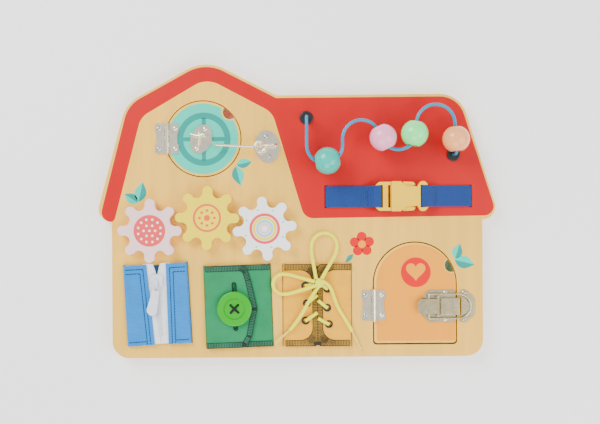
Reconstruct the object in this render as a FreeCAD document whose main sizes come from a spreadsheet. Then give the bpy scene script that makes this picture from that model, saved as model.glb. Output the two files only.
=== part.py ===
"""Wooden busy board shaped like a barn: doors, gears, bead wire, strap, zip, button and lace.

Frame: the board lies on its back. +X right, +Y up the board, +Z out of its face, millimetres,
origin in the middle of the back face.
"""
import FreeCAD
import Part
import math
import os

os.makedirs("parts", exist_ok=True)
doc = FreeCAD.newDocument("busy_board")
V = FreeCAD.Vector
Z_AXIS = V(0, 0, 1)

# Driving dimensions
SIZES = {
    "back_thick": 3, "board_thick": 9, "door_thick": 8.5,
    "corner_round": 16, "eave_round": 12, "ridge_round": 38, "shoulder_round": 33, "roof_end_round": 26.6,
    "window_hole_rad": 36.6, "window_door_rad": 35.6, "notch_rad": 6.5,
    "arch_rad": 40, "arch_door_rad": 38.8,
    "gear_outer_rad": 30.1, "gear_root_rad": 20.5, "gear_thick": 8, "gear_bore_rad": 3.2,
    "axle_rad": 3, "gear_lift": 0.6, "washer_rad": 5.5,
    "wire_rad": 1.55, "wire_top": 29, "bead_rad": 12.6,
    "grommet_rad": 6.3, "sleeve_rad": 4.8,
    "leaf_thick": 1, "knuckle_rad": 1.9, "hinge_pin_rad": 0.9, "hinge_length": 28.6,
    "plate_thick": 1.2, "screw_shank_rad": 1.1, "screw_head_rad": 2.3,
    "hook_wire_rad": 1.05, "eye_wire_rad": 0.95, "hook_height": 21,
    "latch_sheet": 0.8, "bail_rad": 0.85,
    "strap_width": 20, "strap_thick": 1.4, "buckle_width": 28.3, "buckle_thick": 8,
    "fabric_thick": 1.2, "lace_rad": 1.7, "tip_rad": 0.95,
    "button_rad": 16.3, "button_thick": 3.6,
}
sheet = doc.addObject("Spreadsheet::Sheet", "Sizes")
for row, (alias, value) in enumerate(SIZES.items(), start=1):
    sheet.set("A%d" % row, alias)
    sheet.set("B%d" % row, str(value))
    sheet.setAlias("B%d" % row, alias)
doc.recompute()


def size(alias):
    """A driving dimension read back from the sheet."""
    return float(sheet.get(alias))


FACE = size("back_thick") + size("board_thick")


# Outlines
def rounded(corners):
    """Closed outline through (x, y, radius) corners: straight edges joined by tangent arcs."""
    count = len(corners)
    ends = []
    for i in range(count):
        here = V(corners[i][0], corners[i][1], 0)
        before = V(corners[i - 1][0], corners[i - 1][1], 0) - here
        after = V(corners[(i + 1) % count][0], corners[(i + 1) % count][1], 0) - here
        before.normalize()
        after.normalize()
        radius = corners[i][2]
        if radius == 0:
            ends.append((here, here, here))
            continue
        half = before.getAngle(after) / 2
        middle = before + after
        middle.normalize()
        reach = radius / math.tan(half)
        nearest = here + middle * (radius / math.sin(half) - radius)
        ends.append((here + before * reach, nearest, here + after * reach))
    edges = []
    for i in range(count):
        start, nearest, end = ends[i]
        if (start - end).Length > 1e-6:
            edges.append(Part.Arc(start, nearest, end))
        following = ends[(i + 1) % count][0]
        if (following - end).Length > 1e-6:
            edges.append(Part.LineSegment(end, following))
    return edges


def box_outline(low_x, high_x, low_y, high_y, radius=0.0):
    return rounded([(low_x, low_y, radius), (high_x, low_y, radius),
                    (high_x, high_y, radius), (low_x, high_y, radius)])


def circle(x, y, radius):
    return [Part.Circle(V(x, y, 0), Z_AXIS, radius)]


def slot_outline(x, y, half_length, half_width, angle=0.0):
    """Round-ended slot centred on x, y."""
    turn = math.radians(angle)
    along = V(math.cos(turn), math.sin(turn), 0)
    across = V(-math.sin(turn), math.cos(turn), 0)
    straight = half_length - half_width
    middle = V(x, y, 0)
    a = middle + along * straight - across * half_width
    b = middle + along * straight + across * half_width
    c = middle - along * straight + across * half_width
    d = middle - along * straight - across * half_width
    return [Part.LineSegment(d, a), Part.Arc(a, middle + along * half_length, b),
            Part.LineSegment(b, c), Part.Arc(c, middle - along * half_length, d)]


def ellipse(x, y, long_half, short_half, angle):
    curve = Part.Ellipse(V(x, y, 0), long_half, short_half)
    curve.AngleXU = math.radians(angle)
    return [curve]


# Sub-part makers
def plane_of(body, role):
    return next(item for item in body.Origin.OriginFeatures if item.Role == role)


def new_body(label, height=0.0, height_expression=None):
    body = doc.addObject("PartDesign::Body", label)
    body.Label = label
    body.Placement.Base = V(0, 0, height)
    if height_expression:
        body.setExpression(".Placement.Base.z", height_expression)
    return body


def sketch(body, name, outlines, level=0.0):
    drawn = body.newObject("Sketcher::SketchObject", name)
    drawn.AttachmentSupport = [(plane_of(body, "XY_Plane"), "")]
    drawn.MapMode = "FlatFace"
    drawn.AttachmentOffset = FreeCAD.Placement(V(0, 0, level), FreeCAD.Rotation())
    for outline in outlines:
        drawn.addGeometry(outline, False)
    return drawn


def pad(body, name, outlines, length):
    """Pad along +Z of the body; length is a sheet expression."""
    feature = body.newObject("PartDesign::Pad", name)
    feature.Profile = sketch(body, name + "_sketch", outlines)
    feature.setExpression("Length", length)
    return feature


def pocket(body, name, outlines, depth):
    """Cut up into the body from its own base plane."""
    feature = body.newObject("PartDesign::Pocket", name)
    feature.Profile = sketch(body, name + "_sketch", outlines)
    feature.Reversed = True
    feature.setExpression("Length", depth)
    return feature


def drill(body, name, outlines, top, depth):
    """Cut down from a level inside the body."""
    feature = body.newObject("PartDesign::Pocket", name)
    feature.Profile = sketch(body, name + "_sketch", outlines, top)
    feature.Length = depth
    return feature


def plate(label, outlines, height, thickness):
    """A flat piece with its holes, its base at a sheet expression's height."""
    body = new_body(label, 0, height)
    pad(body, label + "_pad", outlines, thickness)
    return body


def solid(label, shape):
    """A sub-part whose form comes from swept or combined solids."""
    feature = doc.addObject("Part::Feature", label)
    feature.Label = label
    feature.Shape = shape
    return feature


def group(shapes):
    return Part.makeCompound(shapes)


def cylinder(radius, length, base, direction=Z_AXIS):
    return Part.makeCylinder(radius, length, V(*base), V(*direction))


def block(low, high):
    return Part.makeBox(high[0] - low[0], high[1] - low[1], high[2] - low[2], V(*low))


def extrude(outlines, low_z, high_z):
    """Prism of the first outline less the others."""
    faces = [Part.Face(Part.Wire([curve.toShape() for curve in outline])) for outline in outlines]
    shape = faces[0]
    for hole in faces[1:]:
        shape = shape.cut(hole)
    shape = shape.extrude(V(0, 0, high_z - low_z))
    shape.translate(V(0, 0, low_z))
    return shape


def route_wire(points, share=0.49):
    """Straight runs joined by tangent arcs through hand-chosen points."""
    corners = [V(*point) for point in points]
    radii = []
    edges = []
    start = corners[0]
    for before, here, after in zip(corners, corners[1:], corners[2:]):
        back = (before - here)
        ahead = (after - here)
        shorter = min(back.Length, ahead.Length)
        back.normalize()
        ahead.normalize()
        half_turn = (math.pi - back.getAngle(ahead)) / 2
        reach = share * shorter
        radius = reach / math.tan(half_turn)
        radii.append(radius)
        middle = back + ahead
        middle.normalize()
        nearest = here + middle * (radius / math.cos(half_turn) - radius)
        edges.append(Part.LineSegment(start, here + back * reach).toShape())
        edges.append(Part.Arc(here + back * reach, nearest, here + ahead * reach).toShape())
        start = here + ahead * reach
    edges.append(Part.LineSegment(start, corners[-1]).toShape())
    return Part.Wire(edges), radii


def tube(wire, radius):
    """Round section swept along a wire."""
    first = wire.Edges[0]
    start = first.valueAt(first.FirstParameter)
    along = first.tangentAt(first.FirstParameter)
    section = Part.Wire([Part.makeCircle(radius, start, along)])
    return wire.makePipeShell([section], True, False)


def strip(points, thick, width_low, width_high):
    """Sheet bent along an X-Z line of points (centre line), as wide as the Y range given."""
    corners = [V(x, 0, z) for x, z in points]
    left = []
    right = []
    for i, here in enumerate(corners):
        ahead = corners[min(i + 1, len(corners) - 1)] - corners[max(i, 0)]
        back = corners[i] - corners[max(i - 1, 0)]
        if ahead.Length < 1e-9:
            ahead = back
        if back.Length < 1e-9:
            back = ahead
        ahead.normalize()
        back.normalize()
        middle = ahead + back
        middle.normalize()
        across = V(-middle.z, 0, middle.x)
        stretch = thick / 2 / max(0.2, middle.dot(ahead))
        left.append(here + across * stretch)
        right.append(here - across * stretch)
    outline = Part.makePolygon(left + right[::-1] + [left[0]])
    shape = Part.Face(outline).extrude(V(0, width_high - width_low, 0))
    shape.translate(V(0, width_low, 0))
    return shape


# Boards
# How far the middle of a quarter arc lies from its corner's sides, as a share of its radius
ARC_SAG = 1 - math.sqrt(0.5)
HALF_HEIGHT = 139.2
HALF_WIDTH = 176
EAVE_Y = -9.5
BOARD_CORNERS = [
    (-HALF_WIDTH, -HALF_HEIGHT, size("corner_round")), (HALF_WIDTH, -HALF_HEIGHT, size("corner_round")),
    (HALF_WIDTH, EAVE_Y, 0), (192.8, EAVE_Y, size("eave_round")), (155.5, 110, size("roof_end_round")),
    (-18.8, 109.5, 0), (-86, 144.45, size("ridge_round")), (-162, 102.5, size("shoulder_round")),
    (-192.1, EAVE_Y, size("eave_round")), (-HALF_WIDTH, EAVE_Y, 0)]

WINDOW = (-88.8, 68.8)
ARCH = (111.4, -70.1)
ARCH_FLOOR = -128
GEARS = {"flower_gear": (-138.6, -18.1, -0.7), "sun_gear": (-84.5, -6.4, -1.2),
         "rainbow_gear": (-30.4, -16.8, 5.7)}
GROMMETS = [(9.5, 88.0), (148.8, 52.1)]
STRAP_Y = 12.8
STRAP_ENDS = (27.5, 165)
ZIP = (-132.8, -87.9, 3.0, 30.3, 38.1)
BUTTON = (-56.1, -90.3, 1.8, 31.5, 38.9)
LACE = (18.6, -89.7, 0.0, 32.4, 38.8)
PANELS = [ZIP, BUTTON, LACE]
SLOT_WIDE = 2.4
FOLD = 11
RECESS = 1.6


def placed(panel):
    """Placement of a panel's own frame on the board."""
    return FreeCAD.Placement(V(panel[0], panel[1], 0), FreeCAD.Rotation(Z_AXIS, panel[2]))


def turned_box(panel, low_x, high_x, low_y, high_y):
    corners = [(low_x, low_y), (high_x, low_y), (high_x, high_y), (low_x, high_y)]
    spots = [placed(panel).multVec(V(x, y, 0)) for x, y in corners]
    return rounded([(spot.x, spot.y, 0) for spot in spots])


def arch_outline(radius, floor, corner):
    """Door shape: straight sides, round top, small bottom corners."""
    x, y = ARCH
    cut = corner * ARC_SAG
    return [Part.Arc(V(x + radius, y, 0), V(x, y + radius, 0), V(x - radius, y, 0)),
            Part.LineSegment(V(x - radius, y, 0), V(x - radius, floor + corner, 0)),
            Part.Arc(V(x - radius, floor + corner, 0),
                     V(x - radius + cut, floor + cut, 0),
                     V(x - radius + corner, floor, 0)),
            Part.LineSegment(V(x - radius + corner, floor, 0), V(x + radius - corner, floor, 0)),
            Part.Arc(V(x + radius - corner, floor, 0),
                     V(x + radius - cut, floor + cut, 0),
                     V(x + radius, floor + corner, 0)),
            Part.LineSegment(V(x + radius, floor + corner, 0), V(x + radius, y, 0))]


BACK_SCREWS = [(-166, -132), (0, -134), (166, -130), (-172, 5), (168, 5), (-86, 128), (60, 100), (-8, 20)]
HINGES = [(-123, 69), (72, -90.5)]
SCREW_ACROSS = 7.8
SCREW_UP = 9.6
HOOK_BASE = (-28.0, 60.9, 15.5, 11.8, 97.3)
HOOK_BASE_SCREWS = [(-28.9, 70.2), (-26.5, 51.5)]
KEEPER = (-90.5, 68.4, 14.2, 9.8, 68.3)
KEEPER_SCREWS = [(-86.8, 78.0), (-94.8, 59.2)]
LATCH_Y = -91.5
LATCH_SCREWS = [(140, LATCH_Y + 12.6), (140, LATCH_Y - 12.6)]
STRIKE_SCREWS = [(158, LATCH_Y + 12.6), (158, LATCH_Y - 12.6)]


def leaf_screws(hinge, side):
    """Screw places of the hinge leaf on one side of its axis."""
    return [(hinge[0] + side * SCREW_ACROSS, hinge[1] + up) for up in (-SCREW_UP, SCREW_UP)]


BOARD_SCREWS = leaf_screws(HINGES[0], -1) + leaf_screws(HINGES[1], -1) + HOOK_BASE_SCREWS + STRIKE_SCREWS
WINDOW_SCREWS = leaf_screws(HINGES[0], 1) + KEEPER_SCREWS
ARCH_SCREWS = leaf_screws(HINGES[1], 1) + LATCH_SCREWS
PILOT = size("screw_shank_rad") + 0.05
PILOT_DEEP = 6.2

back_board = plate("back_board", [rounded(BOARD_CORNERS)] + [circle(x, y, 1.6) for x, y in BACK_SCREWS],
                   "0", "Sizes.back_thick")
pocket(back_board, "screw_seats", [circle(x, y, 3.4) for x, y in BACK_SCREWS], "1.5 mm")

front_board = plate("front_board", [rounded(BOARD_CORNERS)], "Sizes.back_thick", "Sizes.board_thick")
through = [circle(WINDOW[0], WINDOW[1], size("window_hole_rad")),
           arch_outline(size("arch_rad"), ARCH_FLOOR, 3.5)]
through += [circle(x, y, size("axle_rad") + 0.05) for x, y, angle in GEARS.values()]
through += [circle(x, y, size("sleeve_rad") + 0.1) for x, y in GROMMETS]
half_strap = size("strap_width") / 2 + 0.6
through += [box_outline(x - 1.2, x + 1.2, STRAP_Y - half_strap, STRAP_Y + half_strap) for x in STRAP_ENDS]
for panel in PANELS:
    for side in (-1, 1):
        edge = side * (panel[3] - 0.6)
        half_slot = panel[4] + 0.5
        through.append(turned_box(panel, edge - SLOT_WIDE / 2, edge + SLOT_WIDE / 2, -half_slot, half_slot))
pocket(front_board, "front_through", through, "Sizes.board_thick")
recesses = []
for panel in PANELS:
    for side in (-1, 1):
        edge = side * (panel[3] - 0.6)
        near, far = sorted((edge - side * FOLD, edge + side * 1.3))
        half_recess = panel[4] + 0.6
        recesses.append(turned_box(panel, near, far, -half_recess, half_recess))
for x, side in ((STRAP_ENDS[0], 1), (STRAP_ENDS[1], -1)):
    low, high = sorted((x - side * 1.3, x + side * FOLD))
    recesses.append(box_outline(low, high, STRAP_Y - half_strap - 0.1, STRAP_Y + half_strap + 0.1))
recesses += [circle(x, y, 6) for x, y, angle in GEARS.values()]
recesses += [circle(x, y, 6.2) for x, y in GROMMETS]
pocket(front_board, "back_recesses", recesses, "%g mm" % RECESS)
pocket(front_board, "back_screw_holes", [circle(x, y, 1.5) for x, y in BACK_SCREWS], "6.4 mm")


def pilots(places):
    return [circle(x, y, PILOT) for x, y in places]


drill(front_board, "pilot_holes", pilots(BOARD_SCREWS), size("board_thick"), PILOT_DEEP)

# Doors
notch_gap = size("notch_rad")
window_door = new_body("window_door", 3.5)
window_door.setExpression(".Placement.Base.z", "Sizes.back_thick + 0.5")
window_disc = circle(WINDOW[0], WINDOW[1], size("window_door_rad"))
pad(window_door, "window_disc", [window_disc], "Sizes.door_thick")
window_notch = circle(WINDOW[0] + 25.4, WINDOW[1] + 25.0, notch_gap)
pocket(window_door, "window_notch", [window_notch], "Sizes.door_thick")

arched_door = new_body("arched_door", 3.5)
arched_door.setExpression(".Placement.Base.z", "Sizes.back_thick + 0.5")
arch_panel = arch_outline(size("arch_door_rad"), ARCH_FLOOR + 1.6, 3)
pad(arched_door, "arch_panel", [arch_panel], "Sizes.door_thick")
arch_notch = circle(ARCH[0] + 35.0, ARCH[1] + 17.2, notch_gap)
pocket(arched_door, "arch_notch", [arch_notch], "Sizes.door_thick")
drill(window_door, "window_pilots", pilots(WINDOW_SCREWS), size("door_thick"), PILOT_DEEP)
drill(arched_door, "arch_pilots", pilots(ARCH_SCREWS), size("door_thick"), PILOT_DEEP)


# Screws
def face_screw(x, y, seat):
    """Dome-headed cross screw standing on a plate at height seat."""
    shank = cylinder(size("screw_shank_rad"), seat - FACE + 5.8, (x, y, FACE - 5.8))
    head = size("screw_head_rad")
    rise = 1.1
    ball = (head * head + rise * rise) / (2 * rise)
    dome = Part.makeSphere(ball, V(x, y, seat + rise - ball)).common(cylinder(head, rise, (x, y, seat)))
    cross = block((x - 1.3, y - 0.25, seat + 0.55), (x + 1.3, y + 0.25, seat + 2))
    cross = cross.fuse(block((x - 0.25, y - 1.3, seat + 0.55), (x + 0.25, y + 1.3, seat + 2)))
    return shank.fuse(dome).cut(cross).removeSplitter()


def back_screw(x, y):
    shank = cylinder(1.45, 7.6, (x, y, 1.4))
    head = cylinder(3.2, 1.3, (x, y, 0.1))
    return shank.fuse(head).cut(block((x - 2, y - 0.4, 0), (x + 2, y + 0.4, 0.7))).removeSplitter()


LEAF_TOP = FACE + size("leaf_thick")
PLATE_TOP = FACE + size("plate_thick")
LATCH_TOP = FACE + size("latch_sheet")
board_screws = [face_screw(x, y, LEAF_TOP) for x, y in BOARD_SCREWS[:4]]
board_screws += [face_screw(x, y, PLATE_TOP) for x, y in HOOK_BASE_SCREWS]
board_screws += [face_screw(x, y, LATCH_TOP) for x, y in STRIKE_SCREWS]
solid("board_screws", group(board_screws + [back_screw(x, y) for x, y in BACK_SCREWS]))
solid("window_door_screws", group([face_screw(x, y, LEAF_TOP) for x, y in WINDOW_SCREWS[:2]]
                                  + [face_screw(x, y, PLATE_TOP) for x, y in KEEPER_SCREWS]))
solid("arched_door_screws", group([face_screw(x, y, LEAF_TOP) for x, y in ARCH_SCREWS[:2]]
                                  + [face_screw(x, y, LATCH_TOP) for x, y in ARCH_SCREWS[2:]]))

# Hinges
HINGE_Z = FACE + size("knuckle_rad") + 0.05
LEAF_WIDE = 11.2


def hinge_leaf(axis_x, axis_y, side, rows):
    """Leaf on one side of the hinge line with its own knuckles; rows counts from the bottom of five."""
    half = size("hinge_length") / 2
    inner = 2.4
    bite = 1.2
    outline = [(side * inner, -half, 0), (side * (LEAF_WIDE - 0.2), -half, 1.6),
               (side * LEAF_WIDE, -half * 0.45, 1), (side * (LEAF_WIDE - bite), -half * 0.3, 1),
               (side * (LEAF_WIDE - bite), half * 0.3, 1), (side * LEAF_WIDE, half * 0.45, 1),
               (side * (LEAF_WIDE - 0.2), half, 1.6), (side * inner, half, 0)]
    moved = rounded([(axis_x + x, axis_y + y, radius) for x, y, radius in outline])
    holes = [circle(axis_x + side * SCREW_ACROSS, axis_y + up, 1.3) for up in (-SCREW_UP, SCREW_UP)]
    leaf = extrude([moved] + holes, FACE, LEAF_TOP)
    step = size("hinge_length") / 5
    for row in rows:
        low = axis_y - half + row * step + 0.1
        high = low + step - 0.2
        near, far = sorted((axis_x, axis_x + side * (inner + 0.5)))
        leaf = leaf.fuse(block((near, low, FACE), (far, high, LEAF_TOP)))
        leaf = leaf.fuse(cylinder(size("knuckle_rad"), high - low, (axis_x, low, HINGE_Z), (0, 1, 0)))
    bore = cylinder(size("hinge_pin_rad") + 0.05, 2 * half + 2, (axis_x, axis_y - half - 1, HINGE_Z), (0, 1, 0))
    return leaf.cut(bore).removeSplitter()


def hinge_pin(axis_x, axis_y):
    half = size("hinge_length") / 2
    pin = cylinder(size("hinge_pin_rad"), 2 * half + 0.4, (axis_x, axis_y - half - 0.2, HINGE_Z), (0, 1, 0))
    for end in (-half - 0.9, half + 0.2):
        pin = pin.fuse(cylinder(1.5, 0.7, (axis_x, axis_y + end, HINGE_Z), (0, 1, 0)))
    return pin


solid("hinge_board_leaves", group([hinge_leaf(x, y, -1, (0, 2, 4)) for x, y in HINGES]))
solid("hinge_pins", group([hinge_pin(x, y) for x, y in HINGES]))
solid("window_hinge_leaf", hinge_leaf(HINGES[0][0], HINGES[0][1], 1, (1, 3)))
solid("arched_hinge_leaf", hinge_leaf(HINGES[1][0], HINGES[1][1], 1, (1, 3)))

# Window hook
plate("hook_base_plate", [ellipse(*HOOK_BASE)] + [circle(x, y, 1.3) for x, y in HOOK_BASE_SCREWS],
      "Sizes.back_thick + Sizes.board_thick", "Sizes.plate_thick")
plate("hook_keeper_plate", [ellipse(*KEEPER)] + [circle(x, y, 1.3) for x, y in KEEPER_SCREWS],
      "Sizes.back_thick + Sizes.board_thick", "Sizes.plate_thick")
HOOK_Z = size("hook_height")
RING = (-34.4, 60.0)
eye_points = [(-38.4, 59.6, PLATE_TOP), (-38.4, 59.6, HOOK_Z - 4.2), (-29.6, 60.6, HOOK_Z + 4.6),
              (-22.5, 61.7, HOOK_Z + 4.6), (-18.6, 62.3, HOOK_Z), (-18.6, 62.3, PLATE_TOP)]
solid("hook_base_eye", tube(route_wire(eye_points, 0.4)[0], size("eye_wire_rad")))
KEEPER_BAR = HOOK_Z - size("hook_wire_rad") - size("eye_wire_rad") - 0.25
keeper_points = [(-92.6, 62.2, PLATE_TOP), (-92.6, 62.2, KEEPER_BAR), (-91.4, 74.6, KEEPER_BAR),
                 (-91.4, 74.6, PLATE_TOP)]
solid("hook_keeper_eye", tube(route_wire(keeper_points, 0.4)[0], size("eye_wire_rad")))
hook_points = [(-38.6, 60.2, HOOK_Z), (-78.0, 62.2, HOOK_Z), (-82.4, 69.0, HOOK_Z), (-86.6, 73.2, HOOK_Z),
               (-91.6, 70.6, HOOK_Z), (-95.8, 71.2, HOOK_Z - 1.6), (-100.0, 72.8, HOOK_Z - 3.6)]
hook_wire = route_wire(hook_points, 0.45)[0]
ring = Part.makeTorus(4.9, size("hook_wire_rad"), V(RING[0], RING[1], HOOK_Z))
tip = Part.makeSphere(size("hook_wire_rad"), V(*hook_points[-1]))
solid("window_hook", ring.fuse([tube(hook_wire, size("hook_wire_rad")), tip]))

# Toggle latch
LEVER_X = 132.5
LEVER_Z = FACE + 3.2
BAIL_X = 124.0
BAIL_Z = FACE + 2.7
BAIL_HALF = 11.5
BAIL_END = 163.7


def about_latch(low_x, high_x, half, low_z, high_z):
    return block((low_x, LATCH_Y - half, low_z), (high_x, LATCH_Y + half, high_z))


base_outline = rounded([(117.8, LATCH_Y - 8, 7), (124, LATCH_Y - 15.4, 7), (149.8, LATCH_Y - 15.4, 1.5),
                        (149.8, LATCH_Y + 15.4, 1.5), (124, LATCH_Y + 15.4, 7), (117.8, LATCH_Y + 8, 7)])
base = extrude([base_outline] + [circle(x, y, 1.3) for x, y in LATCH_SCREWS], FACE, LATCH_TOP)
housing = about_latch(135.2, 153.1, 8.15, LATCH_TOP, FACE + 4)
housing = housing.makeFillet(0.7, [edge for edge in housing.Edges if edge.BoundBox.ZMin > FACE + 3.9])
housing = housing.cut(about_latch(136, 160, 7.35, FACE, FACE + 3.2))
base = base.fuse(housing)
for side in (-1, 1):
    near, far = sorted((LATCH_Y + side * 7.9, LATCH_Y + side * 9.0))
    base = base.fuse(block((130.6, near, FACE), (134.2, far, FACE + 4.9)))
pivot_bore = cylinder(0.85, 24, (LEVER_X, LATCH_Y - 12, LEVER_Z), (0, 1, 0))
solid("latch_base", base.cut(pivot_bore).removeSplitter())
pin = cylinder(0.8, 18.4, (LEVER_X, LATCH_Y - 9.2, LEVER_Z), (0, 1, 0))
for end in (-9.7, 9.1):
    pin = pin.fuse(cylinder(1.4, 0.6, (LEVER_X, LATCH_Y + end, LEVER_Z), (0, 1, 0)))
solid("latch_pivot_pin", pin.removeSplitter())
lever_outline = rounded([(113, LATCH_Y - 7.1, 5), (133.6, LATCH_Y - 7.1, 0.6),
                         (133.6, LATCH_Y + 7.1, 0.6), (113, LATCH_Y + 7.1, 5)])
lever = extrude([lever_outline], FACE + 3.6, FACE + 4.6)
for side in (-1, 1):
    near, far = sorted((LATCH_Y + side * 6.0, LATCH_Y + side * 7.1))
    lever = lever.fuse(block((121.8, near, FACE + 1.4), (126.2, far, FACE + 4)))
    lever = lever.fuse(block((131, near, FACE + 1.9), (133.6, far, FACE + 4)))
lever = lever.cut(cylinder(0.9, 24, (LEVER_X, LATCH_Y - 12, LEVER_Z), (0, 1, 0)))
lever = lever.cut(cylinder(0.95, 24, (BAIL_X, LATCH_Y - 12, BAIL_Z), (0, 1, 0)))
solid("latch_lever", lever.removeSplitter())
bail_rad = size("bail_rad")
bend = 1.8
turn_x = BAIL_END - BAIL_HALF
edges = []
for side in (-1, 1):
    y = LATCH_Y + side * BAIL_HALF
    pin_end = V(BAIL_X, LATCH_Y + side * 5.6, BAIL_Z)
    edges.append(Part.LineSegment(pin_end, V(BAIL_X, y - side * bend, BAIL_Z)))
    corner = V(BAIL_X + bend * ARC_SAG, y - side * bend * ARC_SAG, BAIL_Z)
    edges.append(Part.Arc(V(BAIL_X, y - side * bend, BAIL_Z), corner, V(BAIL_X + bend, y, BAIL_Z)))
    edges.append(Part.LineSegment(V(BAIL_X + bend, y, BAIL_Z), V(turn_x, y, BAIL_Z)))
edges.append(Part.Arc(V(turn_x, LATCH_Y - BAIL_HALF, BAIL_Z), V(BAIL_END, LATCH_Y, BAIL_Z),
                      V(turn_x, LATCH_Y + BAIL_HALF, BAIL_Z)))
bail_wire = Part.Wire(Part.__sortEdges__([curve.toShape() for curve in edges]))
solid("latch_bail", tube(bail_wire, bail_rad))
strike_outline = rounded([(154.5, LATCH_Y - 15.4, 1.5), (160, LATCH_Y - 15.4, 6), (168.4, LATCH_Y - 8, 8),
                          (168.4, LATCH_Y + 8, 8), (160, LATCH_Y + 15.4, 6), (154.5, LATCH_Y + 15.4, 1.5)])
strike = extrude([strike_outline] + [circle(x, y, 1.3) for x, y in STRIKE_SCREWS], FACE, LATCH_TOP)
tongue_end = BAIL_END - bail_rad - 0.4
tongue_half = 8.2
tongue = [Part.LineSegment(V(154.5, LATCH_Y + tongue_half, 0), V(154.5, LATCH_Y - tongue_half, 0)),
          Part.Arc(V(154.5, LATCH_Y - tongue_half, 0), V(tongue_end, LATCH_Y, 0),
                   V(154.5, LATCH_Y + tongue_half, 0))]
solid("latch_strike", strike.fuse(extrude([tongue], FACE, FACE + 4.4)).removeSplitter())

# Gears
TOOTH_COUNT = 8
TIP_RAD = 4.6


def gear_outline(x, y, phase):
    """Round tooth tips and round roots in tangent arcs."""
    outer = size("gear_outer_rad")
    root = size("gear_root_rad")
    tip_at = outer - TIP_RAD
    half_step = math.pi / TOOTH_COUNT
    lean = 2 * tip_at * math.cos(half_step)
    root_rad = (tip_at ** 2 + root ** 2 - lean * root - TIP_RAD ** 2) / (2 * TIP_RAD - 2 * root + lean)
    root_at = root + root_rad
    edges = []
    for tooth in range(TOOTH_COUNT):
        angle = math.radians(phase) + 2 * half_step * tooth

        def spot(radius, turn):
            return V(x + radius * math.cos(angle + turn), y + radius * math.sin(angle + turn), 0)

        tip_centre = spot(tip_at, 0)
        joins = []
        for side in (-1, 1):
            root_centre = spot(root_at, side * half_step)
            joins.append(tip_centre + (root_centre - tip_centre) * (TIP_RAD / (TIP_RAD + root_rad)))
        following = angle + 2 * half_step
        next_tip = V(x + tip_at * math.cos(following), y + tip_at * math.sin(following), 0)
        root_centre = spot(root_at, half_step)
        next_join = next_tip + (root_centre - next_tip) * (TIP_RAD / (TIP_RAD + root_rad))
        edges.append(Part.Arc(joins[0], spot(outer, 0), joins[1]))
        edges.append(Part.Arc(joins[1], spot(root, half_step), next_join))
    return edges


GEAR_LOW = FACE + size("gear_lift")
for name, (x, y, phase) in GEARS.items():
    gear = plate(name, [gear_outline(x, y, phase)], "Sizes.back_thick + Sizes.board_thick + Sizes.gear_lift",
                 "Sizes.gear_thick")
    pocket(gear, name + "_bore", [circle(x, y, size("axle_rad") + 0.02)], "6 mm")
    axle = cylinder(size("axle_rad"), GEAR_LOW + 5.9 - 3.2, (x, y, 3.2))
    solid(name.replace("gear", "axle"), axle.fuse(cylinder(5.4, 1.2, (x, y, 3.2))).removeSplitter())
solid("gear_spacers", group([cylinder(size("washer_rad"), 0.5, (x, y, FACE)).cut(
    cylinder(size("axle_rad") + 0.1, 2, (x, y, FACE - 1))) for x, y, phase in GEARS.values()]))


# Bead wire
WIRE_Z = size("wire_top")
# Centre x, centre y and radius of each turn of the wire, from its left end
LOOPS = [(26.1, 60.3, 16.6), (60.2, 66.0, 17.5), (94.5, 73.4, 17.5), (129.2, 79.7, 17.8)]


def on_loop(index, degrees, radius=None):
    x, y, own = LOOPS[index]
    radius = own if radius is None else radius
    turn = math.radians(degrees)
    return V(x + radius * math.cos(turn), y + radius * math.sin(turn), WIRE_Z)


def loop_arc(index, start, end):
    return Part.Arc(on_loop(index, start), on_loop(index, (start + end) / 2), on_loop(index, end)).toShape()


def toward(index, other):
    """Direction in degrees from one loop's centre to another's."""
    return math.degrees(math.atan2(LOOPS[other][1] - LOOPS[index][1], LOOPS[other][0] - LOOPS[index][0]))


def line(start, end):
    return Part.LineSegment(start, end).toShape()


def drop(start, foot):
    """Level run from start that bends down onto a vertical foot line, ending in the board."""
    above = V(foot[0], foot[1], WIRE_Z)
    along = (above - start)
    along.normalize()
    bend_rad = 6.0
    near = above - along * bend_rad
    low = above - Z_AXIS * bend_rad
    knee = above - along * bend_rad * ARC_SAG - Z_AXIS * bend_rad * ARC_SAG
    return [line(start, near), Part.Arc(near, knee, low).toShape(), line(low, V(foot[0], foot[1], 3.4))]


wire_edges = drop(on_loop(0, 180), GROMMETS[0])
wire_edges.append(loop_arc(0, 180, 360))
wire_edges.append(line(on_loop(0, 360), on_loop(1, 180)))
wire_edges.append(loop_arc(1, 180, toward(1, 2)))
wire_edges.append(line(on_loop(1, toward(1, 2)), on_loop(2, toward(1, 2) + 180)))
wire_edges.append(loop_arc(2, toward(1, 2) + 180, toward(2, 3) + 360))
wire_edges.append(line(on_loop(2, toward(2, 3)), on_loop(3, toward(2, 3) + 180)))
wire_edges.append(loop_arc(3, toward(2, 3) + 180, 3.7))
wire_edges += drop(on_loop(3, 3.7), GROMMETS[1])
wire_edges = [edge for edge in wire_edges if edge.Length > 0.02]
bead_path = Part.Wire(Part.__sortEdges__(wire_edges))
solid("bead_wire", tube(bead_path, size("wire_rad")))


def grommet(x, y):
    outer = size("grommet_rad")
    body = cylinder(size("sleeve_rad"), FACE - 3.3, (x, y, 3.3)).fuse(cylinder(outer, 1.8, (x, y, FACE)))
    body = body.makeFillet(0.8, [edge for edge in body.Edges if edge.BoundBox.ZMin > FACE + 1.7])
    return body.cut(cylinder(size("wire_rad") + 0.05, 30, (x, y, 0))).removeSplitter()


solid("wire_grommets", group([grommet(x, y) for x, y in GROMMETS]))

BEAD_BORE = 4.6
BEAD_FLAT = 11.2


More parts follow.
